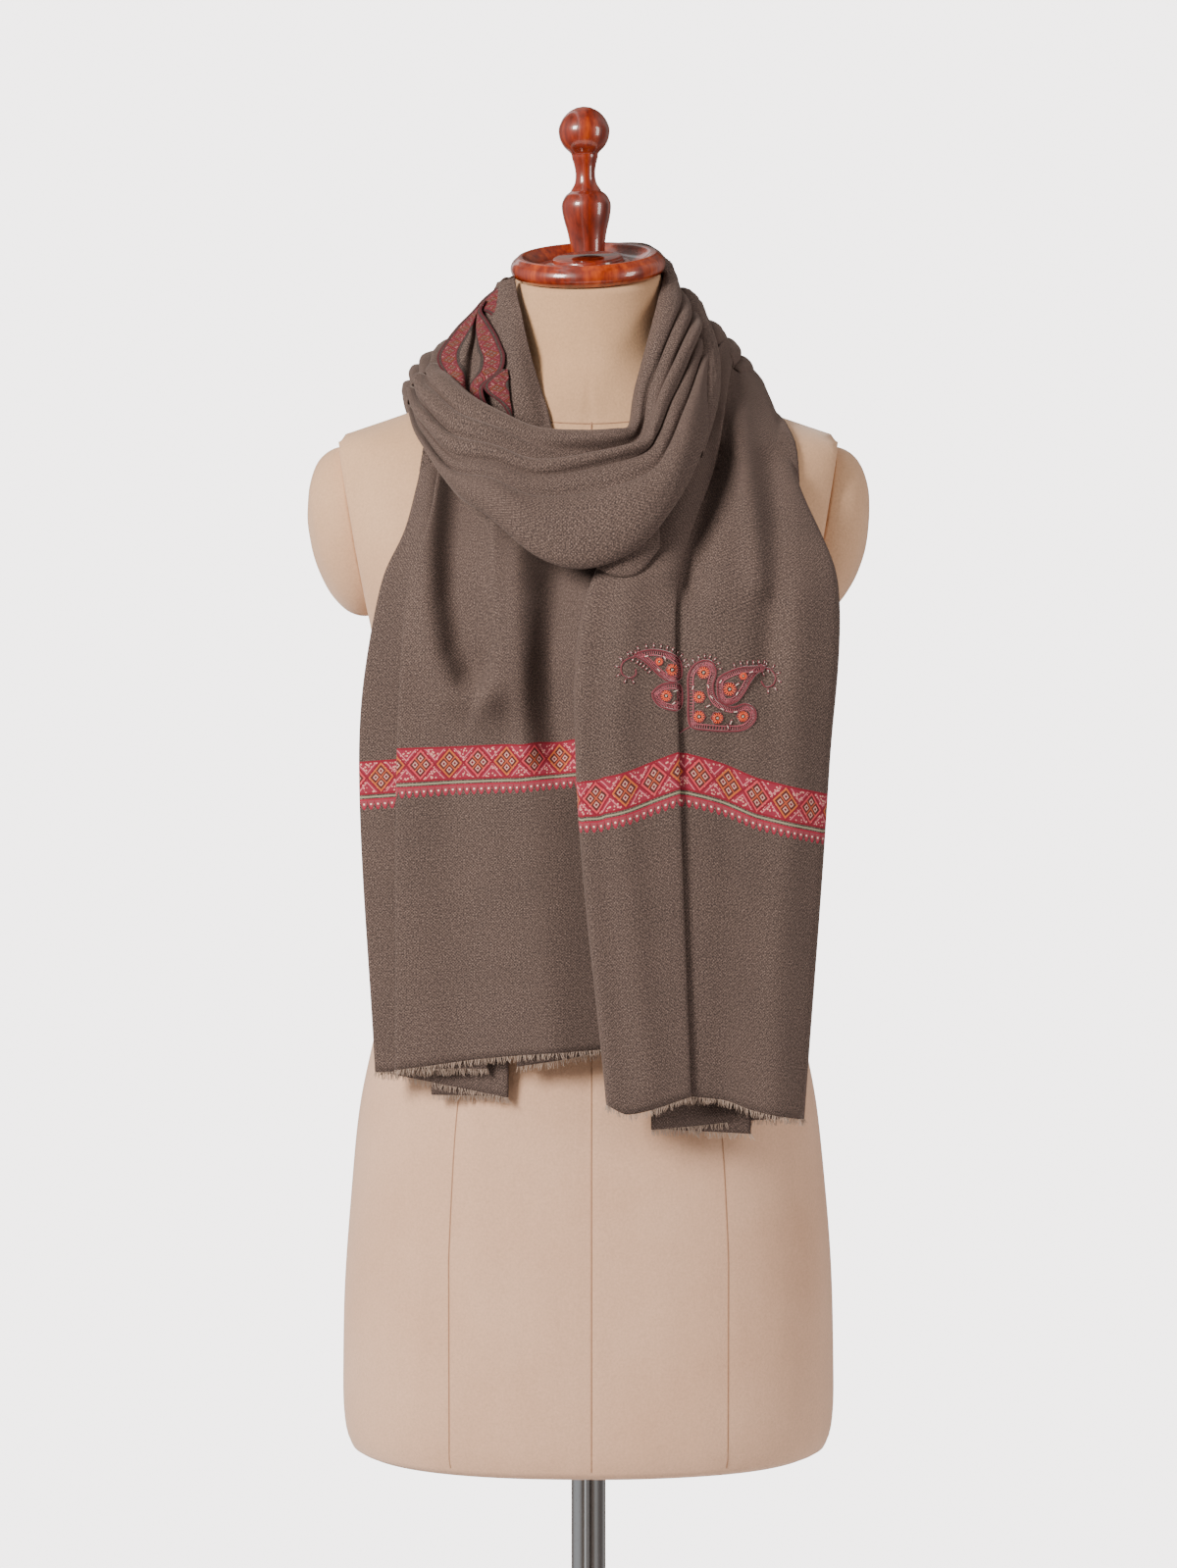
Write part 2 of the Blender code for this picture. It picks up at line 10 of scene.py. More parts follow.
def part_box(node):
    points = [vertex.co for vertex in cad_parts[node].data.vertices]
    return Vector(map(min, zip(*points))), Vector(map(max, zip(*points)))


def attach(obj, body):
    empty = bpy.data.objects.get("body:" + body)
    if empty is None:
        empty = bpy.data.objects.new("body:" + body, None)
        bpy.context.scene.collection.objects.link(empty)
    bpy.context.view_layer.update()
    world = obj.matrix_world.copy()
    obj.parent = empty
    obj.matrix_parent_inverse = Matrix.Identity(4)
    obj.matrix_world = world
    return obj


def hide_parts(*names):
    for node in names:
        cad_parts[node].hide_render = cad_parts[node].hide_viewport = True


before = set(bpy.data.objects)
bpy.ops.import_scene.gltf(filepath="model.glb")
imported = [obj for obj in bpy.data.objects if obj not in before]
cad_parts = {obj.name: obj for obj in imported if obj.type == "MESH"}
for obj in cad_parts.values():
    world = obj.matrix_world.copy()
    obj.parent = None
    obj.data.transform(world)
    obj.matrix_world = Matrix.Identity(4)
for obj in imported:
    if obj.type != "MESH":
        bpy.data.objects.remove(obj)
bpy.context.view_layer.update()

MM = 0.001

# The form, as the pattern cutter would list it: height, half width, front, back, squareness
FORM_SECTIONS = (
    (0.6315, 0.1570, -0.106, 0.108, 2.3),
    (0.6355, 0.1650, -0.112, 0.114, 2.3),
    (0.6540, 0.1703, -0.117, 0.119, 2.3),
    (0.695, 0.1712, -0.119, 0.122, 2.3),
    (0.755, 0.1697, -0.119, 0.124, 2.3),
    (0.825, 0.1646, -0.117, 0.124, 2.3),
    (0.875, 0.1590, -0.113, 0.118, 2.3),
    (0.919, 0.1500, -0.107, 0.108, 2.3),
    (0.961, 0.1400, -0.101, 0.098, 2.3),
    (0.995, 0.1340, -0.098, 0.092, 2.2),
    (1.043, 0.1290, -0.098, 0.088, 2.2),
    (1.097, 0.1320, -0.108, 0.090, 2.2),
    (1.140, 0.1370, -0.118, 0.095, 2.2),
    (1.175, 0.1430, -0.121, 0.100, 2.2),
    (1.213, 0.1560, -0.116, 0.103, 2.3),
    (1.260, 0.1740, -0.103, 0.105, 2.4),
    (1.301, 0.1830, -0.086, 0.104, 2.4),
    (1.325, 0.1860, -0.074, 0.098, 2.4),
    (1.335, 0.1780, -0.068, 0.091, 2.3),
    (1.343, 0.1560, -0.063, 0.084, 2.2),
    (1.354, 0.1240, -0.061, 0.076, 2.1),
    (1.366, 0.0930, -0.060, 0.069, 2.0),
    (1.380, 0.0690, -0.057, 0.063, 2.0),
    (1.397, 0.0565, -0.053, 0.057, 2.0),
    (1.447, 0.0500, -0.050, 0.052, 2.0),
)
NECK_BENDS_FROM = 1.380
NECK_TOP = 1.447
NECK_TILT = math.radians(12.0)
NECK_LEAN = math.radians(2.3)
ARMHOLE_Z = 1.2126
ARMHOLE_X = 0.1500
ARMHOLE_SLOPE = 0.177
ARM_CAP_MIDDLE_Z = 1.272
FORM_BOTTOM = 0.6315
FORM_SIDES = 224
SEAM_GROOVES_END = 1.372
SEAM_GROOVE_DEPTH = 0.0007
SIDE_SEAM_REACH = 0.168
SEAMS_CLOSE_IN_FROM = 1.31
SEAMS_END = 1.346
NECK_SEAM_Z = 1.362
SEAM_THREAD_RADIUS = 0.00065
SEAM_THREAD_SUNK = 0.00028
SEAT_GAP = 0.0006  # between one turned part and what it stands on

# Turned wood: (radius, height) in mm, top to bottom
NECK_PLATE_PROFILE = (
    (0.0, 13.6), (21.5, 13.6), (24.0, 12.6), (24.8, 10.4), (29.0, 9.4), (31.5, 7.6), (36.0, 8.2),
    (41.5, 12.0), (45.0, 15.0), (47.4, 15.2), (49.6, 13.4), (52.0, 11.2), (53.4, 7.6), (52.6, 3.6),
    (50.0, 0.9), (46.5, 0.0), (0.0, 0.0),
)
FINIAL_PROFILE = (
    (0.0, 99.0), (5.0, 98.2), (10.2, 95.4), (14.4, 91.0), (17.0, 85.6), (17.5, 82.0), (16.6, 76.6),
    (13.8, 71.4), (10.2, 67.8), (9.2, 66.4), (8.9, 64.2), (7.4, 58.6), (6.7, 52.4), (7.6, 46.6),
    (9.9, 42.6), (10.7, 41.2), (14.0, 38.6), (16.6, 33.6), (16.9, 29.6), (15.8, 22.6), (13.6, 14.0),
    (12.2, 6.6), (11.7, 0.0), (0.0, 0.0),
)
WASHER_PROFILE = ((0.0, 2.5), (18.3, 2.5), (19.5, 1.8), (19.5, 0.7), (18.3, 0.0), (0.0, 0.0))
SOCKET_PROFILE = (
    (0.0, 26.0), (14.6, 26.0), (15.6, 25.0), (19.0, 21.0), (22.0, 6.0), (26.0, 1.6), (30.0, 0.0), (0.0, 0.0),
)
BASE_PROFILE = (
    (0.0, 10.0), (170.5, 10.0), (173.0, 9.2), (175.0, 6.5), (175.0, 0.8), (174.0, 0.0), (0.0, 0.0),
)


# ---------------------------------------------------------------- small tools


def linear(code):
    """An sRGB hex code as the linear colour that the shaders use."""
    parts = [int(code[i : i + 2], 16) / 255 for i in (0, 2, 4)]
    return tuple(c / 12.92 if c <= 0.04045 else ((c + 0.055) / 1.055) ** 2.4 for c in parts) + (1.0,)


def eased(a, leaving, b, arriving, t):
    """A place on the smooth curve from a to b that leaves and arrives at these rates."""
    return (
        a * (2 * t**3 - 3 * t**2 + 1)
        + leaving * (t**3 - 2 * t**2 + t)
        + b * (3 * t**2 - 2 * t**3)
        + arriving * (t**3 - t**2)
    )


def along_table(table, column, at):
    """The column's value at this key (the first column), on a smooth curve through the rows."""
    if at <= table[0][0]:
        return table[0][column]
    if at >= table[-1][0]:
        return table[-1][column]
    i = max(k for k in range(len(table) - 1) if table[k][0] <= at)

    def slope(k):
        low, high = max(k - 1, 0), min(k + 1, len(table) - 1)
        return (table[high][column] - table[low][column]) / (table[high][0] - table[low][0])

    span = table[i + 1][0] - table[i][0]
    t = (at - table[i][0]) / span
    return eased(table[i][column], slope(i) * span, table[i + 1][column], slope(i + 1) * span, t)


def between(values, at):
    """A value on a smooth curve through evenly spaced values, at a share of the way along."""
    keys = tuple((k / (len(values) - 1), value) for k, value in enumerate(values))
    return along_table(keys, 1, at)


def smooth_line(points, counts):
    """A smooth line through the points, with this many steps in each span."""
    made = []
    last = len(points) - 1
    for i in range(last):
        before, a, b, after = points[max(i - 1, 0)], points[i], points[i + 1], points[min(i + 2, last)]
        span = (b - a).length
        start = (b - before) * (span / max((b - a).length + (a - before).length, 1e-9))
        end = (after - a) * (span / max((b - a).length + (after - b).length, 1e-9))
        made += [eased(a, start, b, end, k / counts[i]) for k in range(counts[i])]
    made.append(points[-1].copy())
    return made


def link_piece(name, shape, material, nodes=()):
    """A finished mesh or curve as a piece, standing for its CAD nodes if it has any."""
    piece = bpy.data.objects.new(name, shape)
    shape.materials.append(material)
    bpy.context.scene.collection.objects.link(piece)
    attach(piece, "root")
    for node_name in nodes:
        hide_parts(node_name)
    return piece


def new_curve(name, radius, resolution=0):
    """An empty curve for round threads of this radius."""
    curve = bpy.data.curves.new(name, "CURVE")
    curve.dimensions = "3D"
    curve.bevel_depth = radius
    curve.bevel_resolution = resolution
    return curve


def add_thread(curve, points, widths=(), closed=False):
    """One thread through the points, with a share of the curve's radius at each."""
    thread = curve.splines.new("POLY")
    thread.points.add(len(points) - 1)
    thread.use_cyclic_u = closed
    for made, point in zip(thread.points, points):
        made.co = (*point, 1.0)
    for made, width in zip(thread.points, widths):
        made.radius = width


def mesh_of(name, bm):
    """The bmesh as a smooth-shaded mesh."""
    for face in bm.faces:
        face.smooth = True
    mesh = bpy.data.meshes.new(name)
    bm.to_mesh(mesh)
    bm.free()
    return mesh


def grid_of(rows):
    """A bmesh grid with its vertices at the points of the rows."""
    bm = bmesh.new()
    across, down = len(rows[0]), len(rows)
    bmesh.ops.create_grid(bm, x_segments=across - 1, y_segments=down - 1, size=1.0)
    for vertex in bm.verts:
        i = round((vertex.co.x + 1) / 2 * (across - 1))
        k = round((vertex.co.y + 1) / 2 * (down - 1))
        vertex.co = rows[k][i]
        vertex.index = k * across + i
    return bm


# ---------------------------------------------------------------- materials


def add_node(tree, kind, links=(), **settings):
    """Adds a node, sets its properties and sockets, and links (socket, source) pairs."""
    made = tree.nodes.new(kind)
    for key, value in settings.items():
        if hasattr(made, key):
            setattr(made, key, value)
        else:
            made.inputs[key.replace("_", " ")].default_value = value
    connect(tree, made, links)
    return made


def connect(tree, node, links):
    """Sets each socket to its plain value, or links it to its source."""
    for socket, source in links:
        if isinstance(source, (int, float, tuple)):
            node.inputs[socket].default_value = source
        else:
            tree.links.new(node.inputs[socket], source)


def new_material(name):
    material = bpy.data.materials.new(name)
    material.use_nodes = True
    return material, material.node_tree, material.node_tree.nodes["Principled BSDF"]


def object_place(tree):
    return add_node(tree, "ShaderNodeTexCoord").outputs["Object"]


def stretched(tree, place, scale):
    return add_node(tree, "ShaderNodeMapping", [("Vector", place)], Scale=scale).outputs[0]


def noise_at(tree, place, **settings):
    return add_node(tree, "ShaderNodeTexNoise", [("Vector", place)], **settings).outputs[0]


def parts_of(tree, place):
    return add_node(tree, "ShaderNodeSeparateXYZ", [("Vector", place)]).outputs


def reckon(tree, operation, first, second):
    """What an operation makes of two values."""
    return add_node(tree, "ShaderNodeMath", [(0, first), (1, second)], operation=operation).outputs[0]


def spread(tree, value, **limits):
    """A value spread over other limits."""
    return add_node(tree, "ShaderNodeMapRange", [("Value", value)], **limits).outputs[0]


def blend(tree, share, first, second):
    """A share of the way from the first colour to the second."""
    colours = [(0, share), (6, first), (7, second)]
    return add_node(tree, "ShaderNodeMix", colours, data_type="RGBA").outputs[2]


def toned(tree, colour, strength):
    """A colour made darker or lighter."""
    links = [(0, colour), ("Scale", strength)]
    return add_node(tree, "ShaderNodeVectorMath", links, operation="SCALE").outputs[0]


def colour_ramp(tree, value, first, last, between_them):
    """Hex colours along a value, each with its place."""
    ramp = add_node(tree, "ShaderNodeValToRGB", [("Fac", value)])
    stops = ramp.color_ramp.elements
    for stop, (at, code) in zip(stops, (first, last)):
        stop.position, stop.color = at, linear(code)
    for at, code in between_them:
        stops.new(at).color = linear(code)
    return ramp


def bump_of(tree, height, strength, depth):
    bump = add_node(tree, "ShaderNodeBump", [("Height", height)], Strength=strength, Distance=depth)
    return bump.outputs[0]


def seam_shadow():
    """The stitched crease of a seam in suede: the same cloth, compressed, and coloured darker as painted
    shade for the crease.
    """
    material, tree, shader = new_material("sewn_suede_seam_painted_shade")
    stitch = noise_at(tree, object_place(tree), Scale=420.0, Detail=2.0)
    # painted shade: the seam thread is coloured darker than the suede to stand for the shadow in the crease
    colour = blend(tree, stitch, linear("8f6a52"), linear("a98468"))
    connect(tree, shader, [("Base Color", colour), ("Roughness", 0.95)])
    return material


def varnished_wood():
    """Turned hardwood under red-brown gloss varnish: streaky grain seen through a clear hard coat."""
    material, tree, shader = new_material("turned_hardwood_gloss_varnish")
    place = stretched(tree, object_place(tree), (1.0, 1.0, 0.16))
    grain = noise_at(tree, place, Scale=210.0, Detail=7.0, Roughness=0.62)
    cloud = noise_at(tree, place, Scale=42.0, Detail=3.0)
    streaks = reckon(tree, "MULTIPLY", grain, cloud)
    ramp = colour_ramp(tree, streaks, (0.12, "3d0a02"), (0.42, "b24812"), [(0.25, "7c2206")])
    ripple = bump_of(tree, grain, 0.06, 0.0004)
    surface = [("Base Color", ramp.outputs[0]), ("Roughness", 0.34), ("Normal", ripple)]
    connect(tree, shader, surface + [("Coat Weight", 1.0), ("Coat Roughness", 0.07)])
    return material


def chrome_plate():
    """Chromium-plated steel tube: a bright mirror with faint haze and a few pits."""
    material, tree, shader = new_material("chromium_plated_steel")
    place = object_place(tree)
    haze = noise_at(tree, place, Scale=90.0, Detail=5.0)
    rough = spread(tree, haze, To_Min=0.05, To_Max=0.16)
    pits = add_node(tree, "ShaderNodeTexVoronoi", [("Vector", place)], Scale=320.0, feature="F1")
    spot = spread(tree, pits.outputs[0], From_Min=0.0, From_Max=0.16)
    where = spread(tree, noise_at(tree, place, Scale=14.0), From_Min=0.56, From_Max=0.66)
    clear = reckon(tree, "SUBTRACT", 1.0, where)
    mask = reckon(tree, "MAXIMUM", spot, clear)
    colour = blend(tree, mask, linear("8a5a3a"), linear("cfd0d2"))
    connect(tree, shader, [("Base Color", colour), ("Roughness", rough), ("Metallic", 1.0)])
    return material


def suede_cover():
    """Brushed beige cotton suede stretched over foam: dull, faintly blotched, with a short nap."""
    material, tree, shader = new_material("brushed_cotton_suede")
    place = object_place(tree)
    stains = noise_at(tree, place, Scale=9.0, Detail=5.0, Roughness=0.55)
    nap = noise_at(tree, place, Scale=650.0, Detail=3.0)
    rubbed = noise_at(tree, stretched(tree, place, (1.0, 1.0, 0.2)), Scale=60.0, Detail=4.0)
    low = blend(tree, stains, linear("c09678"), linear("d9b498"))
    upper = blend(tree, stains, linear("b48a64"), linear("cfa982"))
    share = spread(tree, parts_of(tree, place)["Z"], From_Min=1.05, From_Max=1.40)
    speck = spread(tree, nap, To_Min=0.80, To_Max=1.18)
    worn = spread(tree, rubbed, To_Min=0.95, To_Max=1.05)
    colour = toned(tree, blend(tree, share, low, upper), reckon(tree, "MULTIPLY", speck, worn))
    surface = [("Base Color", colour), ("Roughness", 0.92), ("Normal", bump_of(tree, nap, 0.35, 0.0006))]
    connect(tree, shader, surface + [("Sheen Weight", 0.25), ("Sheen Roughness", 0.5)])
    return material


BORDER_TOP = 0.215  # how high above the hem the needlework's top edge runs
BAND_WIDTH = 0.0225
DIAMOND_PITCH = 0.0197
SIDE_BORDER = 0.0185  # how far the needlework along a selvedge reaches in from it

# The needlework worked out step by step: u and v run across and up the cloth in metres, edge is the
# distance from the selvedge and run the distance along it.  APART is how far apart two values are.
NEEDLEWORK_STEPS = (
    ("side", "LESS_THAN", "edge", SIDE_BORDER),
    ("ends", "SUBTRACT", 1.0, "side"),
    ("across", "DIVIDE", "u", DIAMOND_PITCH),
    ("fallen", "SUBTRACT", BORDER_TOP, "v"),
    ("down", "DIVIDE", "fallen", BAND_WIDTH),
    ("along", "DIVIDE", "run", 0.0068),
    ("inward", "SUBTRACT", "edge", 0.0036),
    ("inwards", "DIVIDE", "inward", 0.0118),
    ("p1", "MULTIPLY", "across", "ends"),
    ("p2", "MULTIPLY", "along", "side"),
    ("p", "ADD", "p1", "p2"),
    ("q1", "MULTIPLY", "down", "ends"),
    ("q2", "MULTIPLY", "inwards", "side"),
    ("q", "ADD", "q1", "q2"),
    ("cell", "FRACT", "p", 0.0),
    ("a0", "SUBTRACT", "cell", 0.5),
    ("a", "ABSOLUTE", "a0", 0.0),
    ("b0", "SUBTRACT", "q", 0.5),
    ("b", "ABSOLUTE", "b0", 0.0),
    ("d", "ADD", "a", "b"),
    ("band", "LESS_THAN", "b", 0.5),
    ("half_p", "MULTIPLY", "p", 0.5),
    ("turn", "FRACT", "half_p", 0.0),
    ("odd", "GREATER_THAN", "turn", 0.5),
    ("even", "SUBTRACT", 1.0, "odd"),
    ("s0", "ADD", "a0", "b0"),
    ("s", "ABSOLUTE", "s0", 0.0),
    ("t", "APART", "a0", "b0"),
    ("ground", "LESS_THAN", "d", 0.45),
    ("ring_abs", "APART", "d", 0.415),
    ("ring", "LESS_THAN", "ring_abs", 0.034),
    ("ring_orange", "MULTIPLY", "ring", "odd"),
    ("ring_pink", "MULTIPLY", "ring", "even"),
    ("nearest", "MINIMUM", "s", "t"),
    ("cross0", "LESS_THAN", "nearest", 0.030),
    ("inside", "LESS_THAN", "d", 0.38),
    ("cross", "MULTIPLY", "cross0", "inside"),
    ("fs", "APART", "s", 0.19),
    ("ft", "APART", "t", 0.19),
    ("far", "MAXIMUM", "fs", "ft"),
    ("floret0", "LESS_THAN", "far", 0.10),
    ("floret", "MULTIPLY", "floret0", "inside"),
    ("bud0", "LESS_THAN", "far", 0.052),
    ("bud", "MULTIPLY", "bud0", "inside"),
    ("line_abs", "APART", "d", 0.5),
    ("line0", "LESS_THAN", "line_abs", 0.038),
    ("line", "MULTIPLY", "line0", "band"),
    ("tri_abs", "APART", "d", 0.63),
    ("tri0", "LESS_THAN", "tri_abs", 0.024),
    ("tri", "MULTIPLY", "tri0", "band"),
    ("rail_abs", "APART", "b", 0.485),
    ("rail", "LESS_THAN", "rail_abs", 0.030),
    ("chain_abs", "APART", "q", 1.085),
    ("chain0", "LESS_THAN", "chain_abs", 0.024),
    ("chain", "MULTIPLY", "chain0", "ends"),
    ("teeth0", "MULTIPLY", "p", 4.0),
    ("teeth1", "FRACT", "teeth0", 0.0),
    ("tooth", "APART", "teeth1", 0.5),
    ("arch0", "MULTIPLY", "tooth", "tooth"),
    ("arch", "SUBTRACT", 1.45, "arch0"),
    ("under0", "LESS_THAN", "q", "arch"),
    ("after0", "GREATER_THAN", "q", 1.16),
    ("leaf0", "MULTIPLY", "under0", "after0"),
    ("leaf", "MULTIPLY", "leaf0", "ends"),
    ("rim_abs", "APART", "q", "arch"),
    ("rim0", "LESS_THAN", "rim_abs", 0.032),
    ("rim", "MULTIPLY", "rim0", "ends"),
    ("stem_abs", "APART", "q", 1.17),
    ("stem0", "LESS_THAN", "stem_abs", 0.022),
    ("stem", "MULTIPLY", "stem0", "ends"),
    ("seed_q", "APART", "q", 1.31),
    ("seed_t", "MULTIPLY", "tooth", 0.218),
    ("seed_d", "MAXIMUM", "seed_q", "seed_t"),
    ("seed0", "LESS_THAN", "seed_d", 0.025),
    ("seed", "MULTIPLY", "seed0", "ends"),
    ("selvedge", "LESS_THAN", "edge", 0.0019),
    ("worked0", "MAXIMUM", "band", "leaf"),
    ("worked1", "MAXIMUM", "chain", "selvedge"),
    ("worked2", "MAXIMUM", "worked0", "worked1"),
    ("worked", "MAXIMUM", "worked2", "rim"),
    ("dulled", "MULTIPLY", "side", 0.62),
    ("bright", "SUBTRACT", 1.0, "dulled"),
)
# Which thread colour goes on where, in the order it is worked
NEEDLEWORK_COLOURS = (
    ("band", "861e34"),
    ("flecked", "cf9488"),
    ("ground", "4d1a18"),
    ("ring_orange", "b85c26"),
    ("ring_pink", "c23c48"),
    ("cross", "a84a2c"),
    ("floret", "c08e84"),
    ("bud", "5e0820"),
    ("tri", "c06a74"),
    ("line", "76001e"),
    ("rail", "7e0020"),
    ("chain", "8a8c72"),
    ("leaf", "8a3a44"),
    ("rim", "8e0c2e"),
    ("stem", "96082e"),
    ("seed", "ead7c6"),
    ("selvedge", "66001a"),
)
INSIDE_BAND = ("ground", "ring_orange", "ring_pink", "cross", "floret", "bud")


def needlework_on(tree, place, colour, height):
    """The worked bands over the plain cloth: its colour and height with the threads laid on."""
    side = add_node(tree, "ShaderNodeUVMap", uv_map="border").outputs[0]
    cloth, border = parts_of(tree, place), parts_of(tree, side)
    value = {"u": cloth[0], "v": cloth[1], "edge": border[0], "run": border[1]}
    for name, operation, first, second in NEEDLEWORK_STEPS:
        pair = value.get(first, first), value.get(second, second)
        if operation == "APART":
            value[name] = reckon(tree, "ABSOLUTE", reckon(tree, "SUBTRACT", *pair), 0.0)
        else:
            value[name] = reckon(tree, operation, *pair)
    dots = add_node(tree, "ShaderNodeTexVoronoi", [("Vector", place)], Scale=520.0).outputs[0]
    value["flecked"] = reckon(tree, "MULTIPLY", reckon(tree, "LESS_THAN", dots, 0.33), value["band"])
    for name, code in NEEDLEWORK_COLOURS:
        mask = value[name]
        if name in INSIDE_BAND:
            mask = reckon(tree, "MULTIPLY", mask, value["band"])
        colour = blend(tree, mask, colour, linear(code))
    strands = spread(tree, noise_at(tree, place, Scale=1500.0, Detail=1.0), To_Min=0.80, To_Max=1.15)
    colour = toned(tree, colour, reckon(tree, "MULTIPLY", strands, value["bright"]))
    raised = reckon(tree, "MULTIPLY", value["worked"], 2.0)
    return colour, reckon(tree, "ADD", height, raised)


def pashmina_cloth(needlework):
    """Fine pashmina wool in a bird's-eye twill, brushed: mixed taupe yarns with a soft sheen.
    The band is aari and sozni needlework in crimson, pink, orange and cream thread."""
    name = "pashmina_wool_needlework" if needlework else "pashmina_wool_twill"
    material, tree, shader = new_material(name)
    place = add_node(tree, "ShaderNodeUVMap", uv_map="cloth").outputs[0]
    yarn = noise_at(tree, place, Scale=900.0, Detail=3.0, Roughness=0.75)
    # two crossing twills that repeat every 2.1 mm make the bird's eye, drawn coarse so that it shows
    ways = []
    for across in (place, stretched(tree, place, (-1.0, 1.0, 1.0))):
        wave = add_node(
            tree, "ShaderNodeTexWave", [("Vector", across)], bands_direction="DIAGONAL",
            Scale=300.0, Distortion=0.3, Detail=1.0, Detail_Scale=2.0,
        )
        ways.append(wave.outputs[0])
    twill = reckon(tree, "MULTIPLY", *ways)
    slub = noise_at(tree, stretched(tree, place, (9.0, 620.0, 1.0)), Scale=1.0, Detail=2.0)
    cloud = noise_at(tree, place, Scale=22.0, Detail=3.0)
    ramp = colour_ramp(tree, yarn, (0.39, "2f2320"), (0.62, "74625a"), [(0.5, "51413a")])
    shade = spread(tree, twill, To_Min=0.66, To_Max=1.55)
    line = spread(tree, slub, To_Min=0.88, To_Max=1.12)
    soft = spread(tree, cloud, To_Min=0.80, To_Max=1.10)
    tone = reckon(tree, "MULTIPLY", reckon(tree, "MULTIPLY", shade, line), soft)
    colour = toned(tree, ramp.outputs[0], tone)
    height = reckon(tree, "ADD", reckon(tree, "MULTIPLY", yarn, 0.35), twill)
    if needlework:
        colour, height = needlework_on(tree, place, colour, height)
    surface = [("Base Color", colour), ("Roughness", 0.88), ("Normal", bump_of(tree, height, 0.25, 0.0002))]
    sheen = [("Sheen Weight", 0.22), ("Sheen Roughness", 0.45), ("Sheen Tint", linear("b4a49c"))]
    connect(tree, shader, surface + sheen)
    return material


def silk_thread(name, code):
    """Untwisted embroidery silk: bright, with a soft lengthwise sheen."""
    material, tree, shader = new_material(name)
    strand = noise_at(tree, object_place(tree), Scale=1400.0, Detail=2.0)
    colour = toned(tree, linear(code)[:3], spread(tree, strand, To_Min=0.75, To_Max=1.2))
    connect(tree, shader, [("Base Color", colour), ("Roughness", 0.55), ("Sheen Weight", 0.4)])
    return material


# ---------------------------------------------------------------- the form


def form_ring(z, count):
    """The form's section at this height, tipped at the neck and flat at the armholes."""
    half_width, front, back, power = (along_table(FORM_SECTIONS, c, z) for c in range(1, 5))
    middle, half_depth = (front + back) / 2, (back - front) / 2
    limit = ARMHOLE_X + ARMHOLE_SLOPE * (z - ARMHOLE_Z) if z > ARMHOLE_Z - 0.02 else half_width
    share = min(1.0, max(0.0, (z - NECK_BENDS_FROM) / (NECK_TOP - NECK_BENDS_FROM)))
    ring = []
    for k in range(count):
        angle = 2 * math.pi * k / count
        across, along = math.cos(angle), math.sin(angle)
        reach = (abs(across) ** power + abs(along) ** power) ** (-1 / power)
        x = max(-limit, min(limit, half_width * across * reach))
        y = middle + half_depth * along * reach
        # the cover's seams: one down the middle of the front and back, and a curved one each side
        seam = 1.0
        if z < SEAM_GROOVES_END:
            side_seam = 0.092 - 0.02 * (z - 0.9)
            for line in (0.0, -side_seam, side_seam):
                seam = min(seam, abs(x - line) / 0.0016)
        pull = 1 - SEAM_GROOVE_DEPTH * max(0.0, 1 - seam) / max(0.05, math.hypot(x, y - middle))
        wave = 0.0007 * noise.noise(Vector((x * 16, y * 16, z * 11)))
        grow = 1 + wave / max(0.05, math.hypot(x, y - middle))
        x, y = x * pull * grow, middle + (y - middle) * pull * grow
        ring.append(Vector((x, y, z + share * (y * math.tan(NECK_TILT) + x * math.tan(NECK_LEAN)))))
    return ring


def build_form(material):
    """The torso and neck: stacked sections, closed above and below."""
    bm = bmesh.new()
    heights = [FORM_BOTTOM + 0.002 * k for k in range(3)]
    heights += [FORM_BOTTOM + 0.006 + (NECK_TOP - FORM_BOTTOM - 0.006) * k / 150 for k in range(151)]
    loops = []
    for z in heights:
        made = bmesh.ops.create_circle(bm, segments=FORM_SIDES, radius=1.0)["verts"]
        for vertex, point in zip(made, form_ring(z, FORM_SIDES)):
            vertex.co = point
        loops.append(list({edge for vertex in made for edge in vertex.link_edges}))
    for low, high in zip(loops, loops[1:]):
        bmesh.ops.bridge_loops(bm, edges=low + high)
    bmesh.ops.holes_fill(bm, edges=[e for e in bm.edges if e.is_boundary], sides=0)
    bmesh.ops.recalc_face_normals(bm, faces=bm.faces)
    return link_piece("covered_torso", mesh_of("covered_torso", bm), material, ["form_torso"])


def build_seams(torso, material):
    """The cover's seams: down the middle and each side, front and back, and round the neck's base."""
    tree = BVHTree.FromObject(torso, bpy.context.evaluated_depsgraph_get())
    curve = new_curve("cover_seams", SEAM_THREAD_RADIUS, 1)
    for way in (-1, 1):
        for middle, share in ((-0.0005, 0.56), (0.002, 0.0), (0.0005, -0.56)):
            line = []
            for k in range(121):
                z = FORM_BOTTOM + 0.001 + (SEAMS_END - FORM_BOTTOM) * k / 120
                if z < SEAMS_CLOSE_IN_FROM:
                    reach = min(SIDE_SEAM_REACH, along_table(FORM_SECTIONS, 1, z))
                else:
                    reach = SIDE_SEAM_REACH - (z - SEAMS_CLOSE_IN_FROM) * 1.25
                hit = tree.ray_cast(Vector((middle - share * reach, 0.5 * way, z)), Vector((0, -way, 0)))
                if hit[0] is not None:
                    line.append(hit[0] - hit[1] * SEAM_THREAD_SUNK)
            add_thread(curve, line)
    ring = []
    for k in range(144):
        angle = math.tau * k / 144
        way = Vector((math.cos(angle), math.sin(angle), 0))
        hit = tree.ray_cast(Vector((0, 0.002, NECK_SEAM_Z + 0.016 * way.y)) + way * 0.4, -way)
        if hit[0] is not None:
            ring.append(hit[0] - hit[1] * SEAM_THREAD_SUNK)
    add_thread(curve, ring, closed=True)
    link_piece("cover_seams", curve, material)


